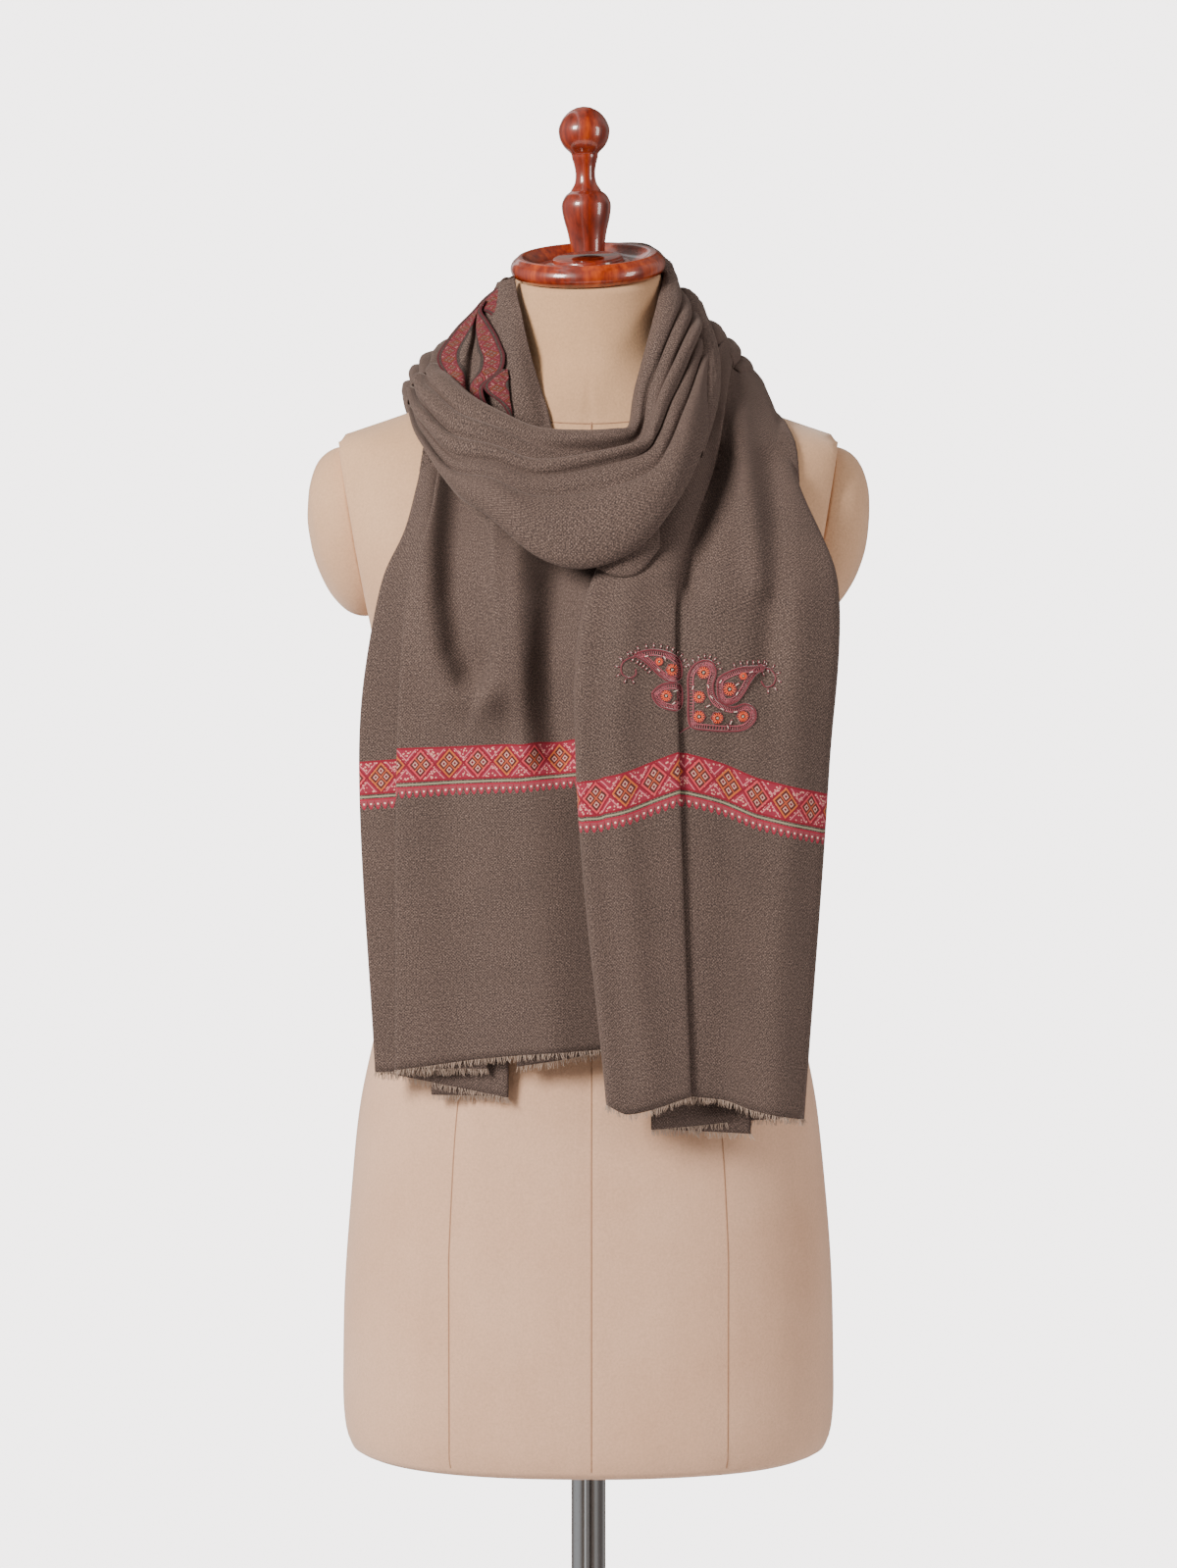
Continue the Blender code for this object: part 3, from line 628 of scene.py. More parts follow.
def build_arm_cap(name, side, material, node_name):
    """A padded dome sewn over the armhole, with the seam allowance showing as a fine ridge."""
    bm = bmesh.new()
    bmesh.ops.create_uvsphere(bm, u_segments=96, v_segments=48, radius=1.0)
    whole = bm.verts[:] + bm.edges[:] + bm.faces[:]
    bmesh.ops.bisect_plane(bm, geom=whole, plane_co=(0.02, 0, 0), plane_no=(1, 0, 0), clear_inner=True)
    bmesh.ops.holes_fill(bm, edges=[edge for edge in bm.edges if edge.is_boundary], sides=0)
    middle_x = ARMHOLE_X + ARMHOLE_SLOPE * (ARM_CAP_MIDDLE_Z - ARMHOLE_Z)
    for vertex in bm.verts:
        across = (vertex.co.x - 0.02) / 0.98
        out = across**0.86 * 0.032 if across > 0 else 0.0
        up, y = vertex.co.z * 0.0585, 0.010 + vertex.co.y * 0.0475
        wave = 0.0006 * noise.noise(vertex.co * 3.1 + Vector((side, 0, 0)))
        x = middle_x + 0.0003 + out + wave + ARMHOLE_SLOPE * up
        vertex.co = Vector((side * x, y, ARM_CAP_MIDDLE_Z + up - ARMHOLE_SLOPE * out))
    bmesh.ops.recalc_face_normals(bm, faces=bm.faces)
    if bm.calc_volume(signed=True) < 0:
        bmesh.ops.reverse_faces(bm, faces=bm.faces)
    return link_piece(name, mesh_of(name, bm), material, [node_name])


def turned_piece(name, profile, place, material, node_name, steps=96, smooth=4):
    """A profile in mm spun about its axis and set in place."""
    bm = bmesh.new()
    points = [Vector((radius, 0, height)) * MM for radius, height in profile]
    if smooth > 1:
        inner = smooth_line(points[1:-2], [smooth] * (len(points) - 4))
        points = points[:1] + inner + points[-2:]
    line = [bm.verts.new(point) for point in points]
    edges = [bm.edges.new(pair) for pair in zip(line, line[1:])]
    bmesh.ops.spin(
        bm, geom=line + edges, cent=(0, 0, 0), axis=(0, 0, 1), angle=math.tau, steps=steps, use_merge=True
    )
    bmesh.ops.remove_doubles(bm, verts=bm.verts, dist=0.00001)
    bmesh.ops.recalc_face_normals(bm, faces=bm.faces)
    bmesh.ops.transform(bm, matrix=place, verts=bm.verts)
    mesh = mesh_of(name, bm)
    mesh.set_sharp_from_angle(angle=math.radians(40))
    return link_piece(name, mesh, material, [node_name])


def build_wood_and_stand(wood, chrome):
    """The plate and finial on the neck, and the pole, washer, socket and base below."""
    square = Matrix.Rotation(-NECK_LEAN, 4, "Y") @ Matrix.Rotation(NECK_TILT, 4, "X")
    middle = Vector((0, 0.001, NECK_TOP))
    up = square @ Vector((0, 0, 1))
    place = Matrix.Translation(middle + up * SEAT_GAP) @ square
    turned_piece("turned_neck_plate", NECK_PLATE_PROFILE, place, wood, "neck_plate")
    upright = Matrix.Rotation(-NECK_LEAN * 0.75, 4, "Y") @ Matrix.Rotation(NECK_TILT * 0.1, 4, "X")
    foot = middle + up * (SEAT_GAP + NECK_PLATE_PROFILE[0][1] * MM) + Vector((0, 0, 0.0032))
    place = Matrix.Translation(foot) @ upright
    turned_piece("turned_finial", FINIAL_PROFILE, place, wood, "neck_finial")
    low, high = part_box("pole")
    length = (high.z - low.z) / MM
    pole = ((0.0, length), (11.4, length), (12.0, length - 0.6), (12.0, 0.6), (11.4, 0.0), (0.0, 0.0))
    place = Matrix.Translation((0, 0, low.z))
    turned_piece("chrome_pole", pole, place, chrome, "pole", smooth=1)
    place = Matrix.Translation((0, 0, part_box("pole_washer")[0].z))
    turned_piece("chrome_washer", WASHER_PROFILE, place, chrome, "pole_washer", smooth=1)
    place = Matrix.Translation((0, 0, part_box("pole_socket")[0].z))
    turned_piece("chrome_socket", SOCKET_PROFILE, place, chrome, "pole_socket", smooth=3)
    place = Matrix.Identity(4)
    turned_piece("chrome_base", BASE_PROFILE, place, chrome, "base_plate", steps=160, smooth=1)


# ---------------------------------------------------------------- the shawl's tails

# A row for each fold, in mm: where it stands across the tail at the shoulder, collar, chest, border and
# hem, how far behind the front panel the cloth lies before and after it, how much lower the hem hangs
# there, and how high above the hem the top of the needlework runs
LEFT_TAIL_FOLDS = (
    ("inner selvedge", -58, -54, -46, -46, -48, 3.6, 3.6, 6, 210),
    ("right turn", -26, -14, 12, 34, 34, 3.6, 0.0, -8, 209.5),
    ("panel middle", -60, -56, -50, -46, -48, 0.0, 0.0, -2, 209),
    ("left panel fold", -96, -104, -119, -127, -129, 0.0, 3.6, 10, 217),
    ("middle tuck", -66, -70, -72, -78, -69, 3.6, 7.4, 8, 212),
    ("outer left fold", -107, -119, -138, -153, -143, 7.4, 11.2, 13, 210),
    ("back turn", -60, -60, -58, -54, -55, 11.2, 15.0, 28, 212),
    ("outer selvedge", -98, -104, -110, -112, -106, 15.0, 15.0, 28, 212),
)
RIGHT_TAIL_FOLDS = (
    ("inner selvedge", 100, 100, 98, 98, 100, 10.8, 10.8, 8, 222),
    ("left edge", 94.5, 65, 3, -6, 14, 10.8, 0.0, 11, 217),
    ("hem dip", 96, 71, 18, 10, 27, 0.0, 0.0, 16.5, 226),
    ("pleat lip", 101, 85, 58, 59, 67, 0.0, 3.6, 5.5, 230.5),
    ("pleat bottom", 96, 71, 26, 20, 22, 3.6, 7.2, 6, 226),
    ("under the lip", 99, 84, 56, 57, 65, 5.0, 5.0, 5.5, 230),
    ("beside the lip", 102, 90, 64, 65, 72, 4.4, 4.4, 6, 230),
    ("panel start", 107, 103, 84, 86, 92, 0.6, 0.6, 9, 227),
    ("panel middle", 111, 113, 116, 112, 108, 0.0, 0.0, 15, 222),
    ("right edge", 121, 140, 164, 158, 142, 1.0, 14.4, 23, 219),
    ("back turn", 100, 84, 52, 44, 43, 14.4, 18.0, 29, 222),
    ("outer selvedge", 112, 116, 116, 112, 109, 18.0, 18.0, 34, 222),
)
# The line down each tail's front panel: station, place, lean of the panel's face from level in degrees
# and how much higher the cloth lies towards the neck
LEFT_TAIL_PATH = (
    (0.0, -0.064, 1.3400, 38, 0.10),
    (0.6, -0.091, 1.3170, 32, 0.08),
    (1.2, -0.113, 1.2800, 22, 0.04),
    (2.0, -0.127, 1.2400, 12, 0.0),
    (2.5, -0.136, 1.1900, 2, 0.0),
    (3.0, -0.134, 1.1250, 0, 0.0),
    (3.5, -0.131, 1.0250, 0, 0.0),
    (4.0, -0.130, 0.9225, 0, 0.0),
)
RIGHT_TAIL_PATH = (
    (0.0, -0.012, 1.3950, 62, 1.15),
    (0.35, -0.040, 1.3760, 56, 0.80),
    (0.7, -0.070, 1.3470, 46, 0.45),
    (1.0, -0.093, 1.3180, 36, 0.25),
    (1.5, -0.120, 1.2800, 24, 0.10),
    (2.0, -0.144, 1.2400, 12, 0.0),
    (2.5, -0.157, 1.1850, 2, 0.0),
    (3.0, -0.157, 1.1200, 0, 0.0),
    (3.5, -0.153, 1.0150, 0, 0.0),
    (4.0, -0.151, 0.9045, 0, 0.0),
)
# Soft folds in the hanging cloth: height in mm (hollows are negative), its width to the left and right
# of the line, and the line's (x, z) points in mm
LEFT_TAIL_DRAPE = (
    ("step towards the middle", 7.0, 4, 22,
     ((-64, 1320), (-64, 1286), (-62, 1231), (-59, 1200), (-62, 1184), (-67, 1173))),
    ("hollow beside the step", -8.0, 16, 12,
     ((-84, 1320), (-86.6, 1296), (-89, 1260), (-89, 1231), (-84, 1200), (-77, 1182))),
    ("shoulder roll", 5.0, 12, 10,
     ((-104, 1320), (-106, 1270), (-107, 1225), (-102, 1190), (-90, 1168), (-70, 1166))),
    ("inner hollow", -6.0, 14, 12, ((-14, 1270), (-22, 1235), (-26, 1190), (-24, 1150), (-20, 1125))),
    ("inner roll", 3.0, 8, 10, ((-46, 1262), (-46, 1220), (-44, 1170), (-42, 1130))),
    ("edge roll", 2.5, 8, 8, ((2, 1240), (4, 1180), (6, 1120))),
    ("low hollow", -2.6, 18, 22, ((-92, 1100), (-90, 1020), (-86, 950), (-84, 920))),
    ("low roll", 2.4, 20, 20, ((-34, 1110), (-30, 1030), (-26, 960), (-22, 925))),
)
RIGHT_TAIL_DRAPE = (
    ("collar roll", 4.5, 9, 10, ((100, 1350), (104, 1325), (110, 1285), (114, 1240))),
    ("hollow under the collar", -6.8, 10, 12, ((84, 1320), (76, 1290), (70, 1262), (66, 1240))),
    ("outer hollow", -3.9, 10, 10, ((122, 1320), (124, 1280), (122, 1230), (118, 1180))),
    ("inner roll", 2.7, 12, 12, ((28, 1240), (24, 1200), (20, 1150), (22, 1080), (32, 980), (40, 905))),
    ("side hollow", -2.4, 14, 16, ((92, 1140), (92, 1060), (92, 980), (90, 900))),
    ("side roll", 2.7, 12, 14, ((138, 1230), (136, 1150), (132, 1050), (126, 960), (124, 890))),
)
TAIL_CURVE = 0.026
TAIL_CURVE_AT = 0.150
DRAPE_DEPTH = 1.5  # what the soft folds' heights are multiplied by
TAIL_STEPS = 150
WIDTH_ROW = 112  # the line, near the border, whose lengths the needlework is spaced by
CLOTH_THICKNESS = 0.0009
CLOTH_GAP = 0.0028  # between the form and the cloth's middle
RISE_GAP = 0.0022


def tail_rows(folds, path, drape, count):
    """The cloth's lines across the tail, and how high above the hem the needlework's top runs at each
    point of a line."""
    shares, tops, steps = [], [], []
    for j, fold in enumerate(folds):
        turns = 1 if fold[6] == fold[7] else 2
        shares += [j] * turns
    for a, b in zip(shares, shares[1:]):
        far = abs(folds[b][4] - folds[a][4])
        steps.append(4 if a == b else max(4, round(far / 2.9)))
    flat_tops = [folds[j][9] * MM for j in shares]
    for j, step in enumerate(steps):
        tops += [flat_tops[j] + (flat_tops[j + 1] - flat_tops[j]) * k / step for k in range(step)]
    tops.append(flat_tops[-1])
    rows = []
    centre = sum(fold[1] for fold in folds) / len(folds) * MM
    for k in range(count + 1):
        station = 4.0 * k / count
        y, z, lean, tilt = (along_table(path, column, station) for column in range(1, 5))
        behind = Vector((0, math.cos(math.radians(lean)), -math.sin(math.radians(lean))))
        line = []
        for fold in folds:
            x = between(fold[1:6], station / 4) * MM
            curve = TAIL_CURVE * (abs(x) / TAIL_CURVE_AT) ** 2.2
            drop = fold[8] * MM * min(1.0, max(0.0, station - 3))
            for depth in (fold[6],) if fold[6] == fold[7] else (fold[6], fold[7]):
                place = Vector((x, y + curve, z - drop)) + behind * depth * MM
                place.z -= tilt * (abs(x) - abs(centre)) if station < 2 else 0.0
                line.append(place)
        row = smooth_line(line, steps)
        for point in row:
            out = 0.0
            for _, height, left, right, way in drape:
                out += DRAPE_DEPTH * height * fold_share(point, way, left, right)
            wave = noise.noise(Vector((point.x * 26, point.z * 6.5, point.y * 9)))
            wave += 0.5 * noise.noise(Vector((point.x * 60, point.z * 17, 3.0)))
            point.y -= (out + 0.7 * wave * min(1.0, 0.4 + station / 3)) * MM
        rows.append(row)
    return rows, tops


def fold_share(point, way, left, right):
    """How much of a soft fold's height a point of the cloth has, from 0 to 1."""
    best, side = 1e9, 0.0
    x, z = point.x / MM, point.z / MM
    for (ax, az), (bx, bz) in zip(way, way[1:]):
        dx, dz = bx - ax, bz - az
        t = min(1.0, max(0.0, ((x - ax) * dx + (z - az) * dz) / (dx * dx + dz * dz)))
        px, pz = x - ax - dx * t, z - az - dz * t
        far = px * px + pz * pz
        if far < best:
            best, side = far, px * dz - pz * dx
    width = right if side < 0 else left
    return math.exp(-best / (width * width))


def clear_of(tree, point, gap):
    """The point, moved out of the form where it is nearer than the gap."""
    near, normal, _, _ = tree.find_nearest(point)
    short = gap - (point - near).dot(normal)
    return point + normal * short if short > 0 else point


def cloth_piece(name, rows, flat_places, edges, material, nodes, form_tree, gap=CLOTH_GAP):
    """A stretch of the shawl through the rows, with its place on the flat cloth as a UV map and its
    distance from the selvedge as another, and the cloth's thickness."""
    bm = grid_of(rows)
    for vertex in bm.verts:
        vertex.co = clear_of(form_tree, vertex.co, gap)
    cloth, border = bm.loops.layers.uv.new("cloth"), bm.loops.layers.uv.new("border")
    for face in bm.faces:
        for corner in face.loops:
            corner[cloth].uv = flat_places[corner.vert.index]
            corner[border].uv = edges[corner.vert.index]
    piece = link_piece(name, mesh_of(name, bm), material, nodes)
    wall = piece.modifiers.new("Cloth thickness", "SOLIDIFY")
    wall.thickness = CLOTH_THICKNESS
    wall.offset = 0.0
    return piece


def lengths_along(points):
    """How far along the line each of its points is."""
    made = [0.0]
    for a, b in zip(points, points[1:]):
        made.append(made[-1] + (b - a).length)
    return made


def build_tail(name, folds, path, drape, material, node_name, form_tree):
    """A hanging tail, and the line of its hem."""
    rows, tops = tail_rows(folds, path, drape, TAIL_STEPS)
    wide = len(rows[0])
    across = lengths_along(rows[WIDTH_ROW])
    places, edges = [None] * (len(rows) * wide), [None] * (len(rows) * wide)
    for i in range(wide):
        column = [row[i] for row in rows][::-1]
        for k, height in enumerate(lengths_along(column)):
            at = (len(rows) - 1 - k) * wide + i
            up = height * BORDER_TOP / tops[i]
            places[at] = (across[i], up)
            edges[at] = (1.0, up)
    return cloth_piece(name, rows, places, edges, material, [node_name], form_tree), rows[-1]


def build_fringe(name, hem, material, seed):
    """The short loose warp ends below a hem, most about 5 mm long and none quite straight."""
    pick = random.Random(seed)
    curve = new_curve(name, 0.00027)
    lengths = lengths_along(hem)
    at, i = 0.0003, 0
    while at < lengths[-1]:
        while lengths[i + 1] < at:
            i += 1
        foot = hem[i].lerp(hem[i + 1], (at - lengths[i]) / (lengths[i + 1] - lengths[i]))
        clump = noise.noise(Vector((at * 160, seed, 0.0)))
        long = 0.0050 + 0.0016 * clump + pick.uniform(-0.0016, 0.0010)
        lean = Vector((pick.uniform(-0.4, 0.4) + 0.6 * clump, pick.uniform(-0.30, 0.22), -1.0)).normalized()
        points, widths = [], []
        for k in range(4):
            share = k / 3
            bend = Vector((0.0007 * clump * share**2, 0.0002 * share, 0))
            points.append(foot + Vector((0, 0, 0.0006)) + lean * long * share + bend)
            widths.append(1.0 - 0.55 * share)
        add_thread(curve, points, widths)
        at += pick.uniform(0.00042, 0.00085)
    return link_piece(name, curve, material)


# ---------------------------------------------------------------- the shawl's turns round the neck

# Each section: how far along the turn it is, then x, y and z of its upper or inner edge, the same of its
# lower or outer edge, and how far it bellies outwards, in mm
COWL_SECTIONS = (
    (0.00, 50, 14, 1457, 68, 20, 1397, 4),
    (0.10, 51, -16, 1442, 75, -12, 1393, 6),
    (0.20, 44, -42, 1416, 80, -44, 1383, 9),
    (0.32, 31, -66, 1368, 80, -90, 1345, 14),
    (0.42, 26, -88, 1343, 64, -122, 1304, 13),
    (0.52, 13, -97, 1341, 36, -147, 1268, 10),
    (0.62, -8, -99, 1341, -1, -153, 1252, 9),
    (0.72, -34, -97, 1343, -34, -150, 1260, 9),
    (0.80, -56, -89, 1352, -66, -138, 1286, 9),
    (0.88, -77, -74, 1364, -89, -117, 1301, 9),
    (0.95, -93, -47, 1378, -109, -82, 1329, 8),
    (1.00, -99, -22, 1385, -119, -40, 1352, 6),
)
BACK_SECTIONS = (
    (0.00, -99, -20, 1385, -119.5, -38, 1351, 6),
    (0.12, -95, 20, 1398, -125, 14, 1360, 8),
    (0.25, -82, 66, 1408, -118, 90, 1336, 10),
    (0.38, -48, 96, 1418, -74, 128, 1288, 10),
    (0.52, 0, 106, 1422, 0, 138, 1264, 10),
    (0.66, 44, 96, 1418, 70, 128, 1286, 10),
    (0.80, 70, 66, 1414, 104, 96, 1332, 8),
    (0.90, 77, 34, 1418, 117, 40, 1357, 5),
    (0.95, 82, 14, 1417, 121, 14, 1361, 4),
    (0.98, 84, -3, 1412, 118, -5, 1359, 3),
    (1.00, 82, -14, 1405, 112, -18, 1358, 2),
)
NECK_SECTIONS = (
    (0.00, -55, -13, 1446, -64, -9, 1428, 1),
    (0.16, -60, 12, 1444, -68, 16, 1402, 2),
    (0.34, -42, 51, 1454, -52, 62, 1394, 3),
    (0.50, 2, 66, 1470, 0, 82, 1390, 4),
    (0.68, 38, 54, 1472, 50, 64, 1394, 4),
    (0.86, 50, 26, 1462, 64, 33, 1400, 4),
    (1.00, 50.5, 15, 1458, 68, 21, 1398, 4),
)
TIP_SECTIONS = (
    (0.00, 1, -139, 1272, 4, -143, 1252, 0),
    (0.35, 14, -139, 1276, 18, -146, 1246, 1),
    (0.65, 28, -138, 1280, 32, -144, 1247, 1),
    (1.00, 46, -131, 1286, 47, -136, 1264, 0),
)
LIP_SECTIONS = (
    (0.00, 64, 12, 1440, 79, 16, 1418, 3),
    (0.25, 70, -18, 1416, 87, -16, 1398, 3),
    (0.50, 72, -44, 1396, 89, -45, 1378, 3),
    (0.75, 72, -70, 1372, 86, -72, 1355, 3),
    (1.00, 66, -96, 1340, 76, -99, 1324, 2),
)
# Where each crease lies between a turn's edges, evenly along it, and how far the cloth stands up
# between one crease and the next, in mm
COWL_CREASES = (
    (0.26, 0.28, 0.26, 0.22, 0.16, 0.125, 0.14, 0.19, 0.27, 0.30),
    (0.46, 0.50, 0.47, 0.39, 0.29, 0.225, 0.26, 0.38, 0.53, 0.60),
    (0.70, 0.72, 0.66, 0.55, 0.41, 0.325, 0.375, 0.53, 0.72, 0.80),
    (0.90, 0.91, 0.82, 0.72, 0.60, 0.52, 0.54, 0.68, 0.85, 0.90),
)
COWL_SWELLS = (
    (5, 5, 6, 6, 5, 5, 5, 5, 6, 7),
    (5, 5, 4, 1, -4, -7, -3, 4, 8, 9),
    (6, 8, 8, 8, 9, 9, 7, 6, 8, 9),
    (4, 5, 4, 4, 4, 4, 4, 3, 3, 4),
    (5, 6, 8, 8, 8, 8, 8, 7, 7, 6),
)
BACK_CREASES = ((0.22, 0.18, 0.26), (0.46, 0.42, 0.48), (0.70, 0.74, 0.72))
BACK_SWELLS = ((5, 7, 3), (5, 8, 4), (6, 7, 4), (5, 9, 3))
NECK_CREASES = ((0.36, 0.30, 0.34), (0.66, 0.60, 0.70))
NECK_SWELLS = ((2, 4, 4), (2, 5, 4), (2, 4, 5))


def turn_rows(sections, creases, swells, steps, count, rim, hem):
    """The lines across a gathered turn: rounded folds that meet in creases.  The rim goes back inside
    and the lower edge curls under by these lengths in mm."""
    rows = []
    for k in range(count + 1):
        place = k / count
        values = [along_table(sections, column, place) for column in range(1, 8)]
        top, low = Vector(values[0:3]) * MM, Vector(values[3:6]) * MM
        ahead = Vector([along_table(sections, column, place + 0.01) for column in range(1, 4)]) * MM
        behind = Vector([along_table(sections, column, place - 0.01) for column in range(1, 4)]) * MM
        down = (low - top).normalized()
        out = (ahead - behind).normalized().cross(down).normalized()
        if out.dot(Vector((top.x, top.y, 0))) < 0:
            out = -out
        marks = [0.0] + [between(crease, place) for crease in creases] + [1.0]
        row = []
        for step in range(4, 0, -1):
            share = step / 4
            inside = top - out * rim * 0.55 * math.sin(share * 1.5) * MM
            row.append(inside + down * rim * (1 - math.cos(share * 1.7)) * MM)
        for j, swell in enumerate(swells):
            height = between(swell, place)
            for n in range(steps[j] + (j == len(swells) - 1)):
                t = n / steps[j]
                v = marks[j] + (marks[j + 1] - marks[j]) * t
                push = values[6] * math.sin(math.pi * v) ** 0.8 if 0 < v < 1 else 0.0
                push += height * (4 * t * (1 - t)) ** 0.58
                wave = noise.noise(Vector((place * 11, v * 9, 1.7 * j))) * 0.9
                wave += noise.noise(Vector((place * 30, v * 16, 5.0))) * 0.35
                row.append(top.lerp(low, v) + out * (push + wave * math.sin(math.pi * t)) * MM)
        for step in range(1, 5):
            share = step / 4
            under = out * -hem * math.sin(share * 1.57) - down * hem * (1 - math.cos(share * 1.9)) * 0.8
            row.append(low + under * MM + down * hem * 0.15 * math.sin(share * 3.1) * MM)
        rows.append(row)
    return rows


def build_turn(name, rows, material, node_names, form_tree):
    """A turn of plain cloth."""
    across = lengths_along(rows[len(rows) // 2])
    along = lengths_along([row[len(row) // 2] for row in rows])
    places = [(far + 0.3, up + 1.0) for up in along for far in across]
    edges = [(1.0, up) for up in along for _ in across]
    return cloth_piece(name, rows, places, edges, material, node_names, form_tree)


# The cloth climbing the left of the neck.  A row for each height: z, then x of each fold, in mm.  The
# depths say how far behind the front of the climbing cloth each fold lies.
RISE_PANEL = (
    (1332, -23, -36, -51, -70),
    (1338, -24, -38, -52, -73),
    (1354, -27, -40, -53.6, -78),
    (1373, -33, -44, -54.5, -82),
    (1393, -39, -48, -56, -87),
    (1409, -43, -51, -60, -84),
    (1421, -45.5, -54, -62, -79),
    (1432, -48, -54.5, -62, -72),
    (1441, -49.5, -55, -61, -65),
    (1447, -50.5, -56, -61.5, -62.5),
)
RISE_PANEL_DEPTHS = (0.0, -3.0, -1.5, 10.0)
RISE_LAPEL = (
    (1332, -86, -84, -80, -77, -73, -68, -64),
    (1354, -89, -87, -83, -79, -76, -71, -67),
    (1373, -92, -91, -86, -81, -77, -73, -71),
    (1383, -96, -92, -86, -80, -73, -63, -59),
    (1393, -102, -90.5, -85, -79, -72, -62, -56.5),
    (1401, -103, -88, -83, -79, -74, -65.5, -59),
    (1409, -99, -85.6, -81, -77.5, -74, -69, -62.2),
    (1421, -90, -81, -79, -77, -75.5, -73, -68.5),
    (1430, -80, -76, -75.5, -75, -75, -74.8, -73),
    (1436, -74, -72, -71.8, -71.5, -71, -70.8, -70),
)
RISE_LAPEL_DEPTHS = (6.0, 1.0, -2.0, 6.5, -2.0, -3.5, -5.0)
RISE_RETURN = (
    (1340, -52, -51.5, -51),
    (1348, -53.5, -52.5, -51.5),
    (1355, -55.5, -54, -52),
    (1362, -61, -57, -53),
    (1368, -68.5, -61, -53.5),
    (1374, -71, -63, -54),
    (1379, -66, -60, -54),
    (1384, -58.5, -57, -55),
)
RISE_RETURN_DEPTHS = (-5.0, -6.0, -4.5)
RISE_CORNER = (
    (1421, -64, -62.5, -61),
    (1427, -69, -65.5, -61),
    (1432, -76.5, -69, -60.5),
    (1437, -73, -66, -60),
    (1441, -67, -63, -59),
    (1444, -60.5, -59, -58),
)
RISE_CORNER_DEPTHS = (1.0, 0.0, -1.5)
# Where that front is: z and y in metres
RISE_PATH = ((1.332, -0.0680), (1.346, -0.0640), (1.393, -0.0540), (1.421, -0.0385), (1.447, -0.0210))


def build_rise_part(name, table, depths, border, steps, count, material, nodes, form_tree):
    """A part of the climbing cloth.  Needlework runs along its left edge, its right one or both."""
    rows = []
    for k in range(count + 1):
        z = table[0][0] + (table[-1][0] - table[0][0]) * k / count
        y = along_table(RISE_PATH, 1, z * MM)
        share = max(0.0, min(1.0, (z - 1346) / 94))
        line = []
        for column, depth in enumerate(depths, 1):
            x = along_table(table, column, z) * MM
            beside = abs(x + 0.045)
            back = beside * (0.1 + 0.25 * share) + depth * MM * (1 - 0.4 * share)
            line.append(Vector((x, y + back, z * MM - 0.25 * share * beside)))
        rows.append(smooth_line(line, [steps] * (len(line) - 1)))
    wide = len(rows[0])
    places, edges = [], []
    up = 0.0
    for k, row in enumerate(rows):
        across = lengths_along(row)
        if k:
            up += (row[0] - rows[k - 1][0]).length
        for i in range(wide):
            from_left = across[i] if "L" in border else 1.0
            from_right = across[-1] - across[i] if "R" in border else 1.0
            places.append((across[i] + 0.9, up + 1.0))
            edges.append((min(from_left, from_right) + 0.0002, up))
    return cloth_piece(name, rows, places, edges, material, nodes, form_tree, gap=RISE_GAP)


# ---------------------------------------------------------------- the paisley spray

# The spray's outlines on the right tail, as (x, z) in mm
PAISLEYS = (
    ("left leaf",
     ((30, 1194), (40, 1197), (50, 1196), (57, 1193), (61, 1188), (61, 1179), (56, 1176), (50, 1178),
      (45, 1182), (40, 1187), (35, 1191))),
    ("left lobe",
     ((42, 1168), (45, 1172), (51, 1175), (60, 1174), (62, 1166), (60, 1158), (53, 1158), (46, 1161))),
    ("tall leaf",
     ((77, 1190), (70, 1187), (66, 1180), (66, 1166), (66, 1152), (68, 1146), (78, 1144), (92, 1143),
      (103, 1144), (110, 1150), (110, 1157), (104, 1161), (96, 1159), (89, 1161), (84, 1165), (82, 1173),
      (84, 1182), (82, 1188))),
    ("right leaf",
     ((85, 1172), (86, 1178), (92, 1182), (101, 1185), (110, 1185.5), (117, 1185), (111, 1181),
      (107, 1176), (103, 1169), (98, 1163), (91, 1161), (86, 1165))),
)
CURLS = (
    ((33, 1193), (27, 1192), (22, 1188), (22, 1182), (27, 1179), (31, 1181), (31, 1185)),
    ((115, 1185), (121, 1183), (124, 1178), (122, 1173), (117, 1172), (114, 1176)),
)
# x, z and radius in mm
FLORETS = (
    (55, 1184, 4.4), (46.5, 1189.5, 2.8), (51, 1167, 4.2), (76, 1182, 4.5), (73, 1166, 4.3), (73, 1153, 4.3),
    (85, 1152, 4.2), (102, 1153, 4.1), (93, 1171, 4.9), (102, 1179.5, 2.8),
)
# x and z in mm, and slant in radians
LEAFLETS = (
    (38, 1193, 0.3), (50, 1192, 2.2), (46, 1184, -0.7), (57, 1170, 0.4), (56, 1162, 0.7), (69, 1172, 1.3),
    (79, 1173, 1.9), (81, 1166, -0.8), (79, 1160, 0.5), (88, 1158, -0.5), (94, 1149, 1.2), (97, 1156, 0.1),
    (92, 1146, 1.9), (87, 1176, 0.9), (98, 1174, 0.6), (107, 1182, 0.4), (98, 1168, 1.0),
)
THREAD_COLOURS = {"crimson": "620019", "rose": "96404e", "marigold": "d8480c", "ivory": "e6d6c8"}
# How far each thread stands off the cloth: the ivory is worked over the marigold and that over the rest
THREAD_LIFTS = {"crimson": 0.0003, "rose": 0.0003, "marigold": 0.0006, "ivory": 0.0009}


def closed_curve(points, count):
    """A smooth loop through the points."""
    around = [Vector((x, 0, z)) * MM for x, z in points]
    around = around[-2:] + around + around[:3]
    line = smooth_line(around, [count] * (len(around) - 1))
    return line[2 * count : -2 * count - 1]


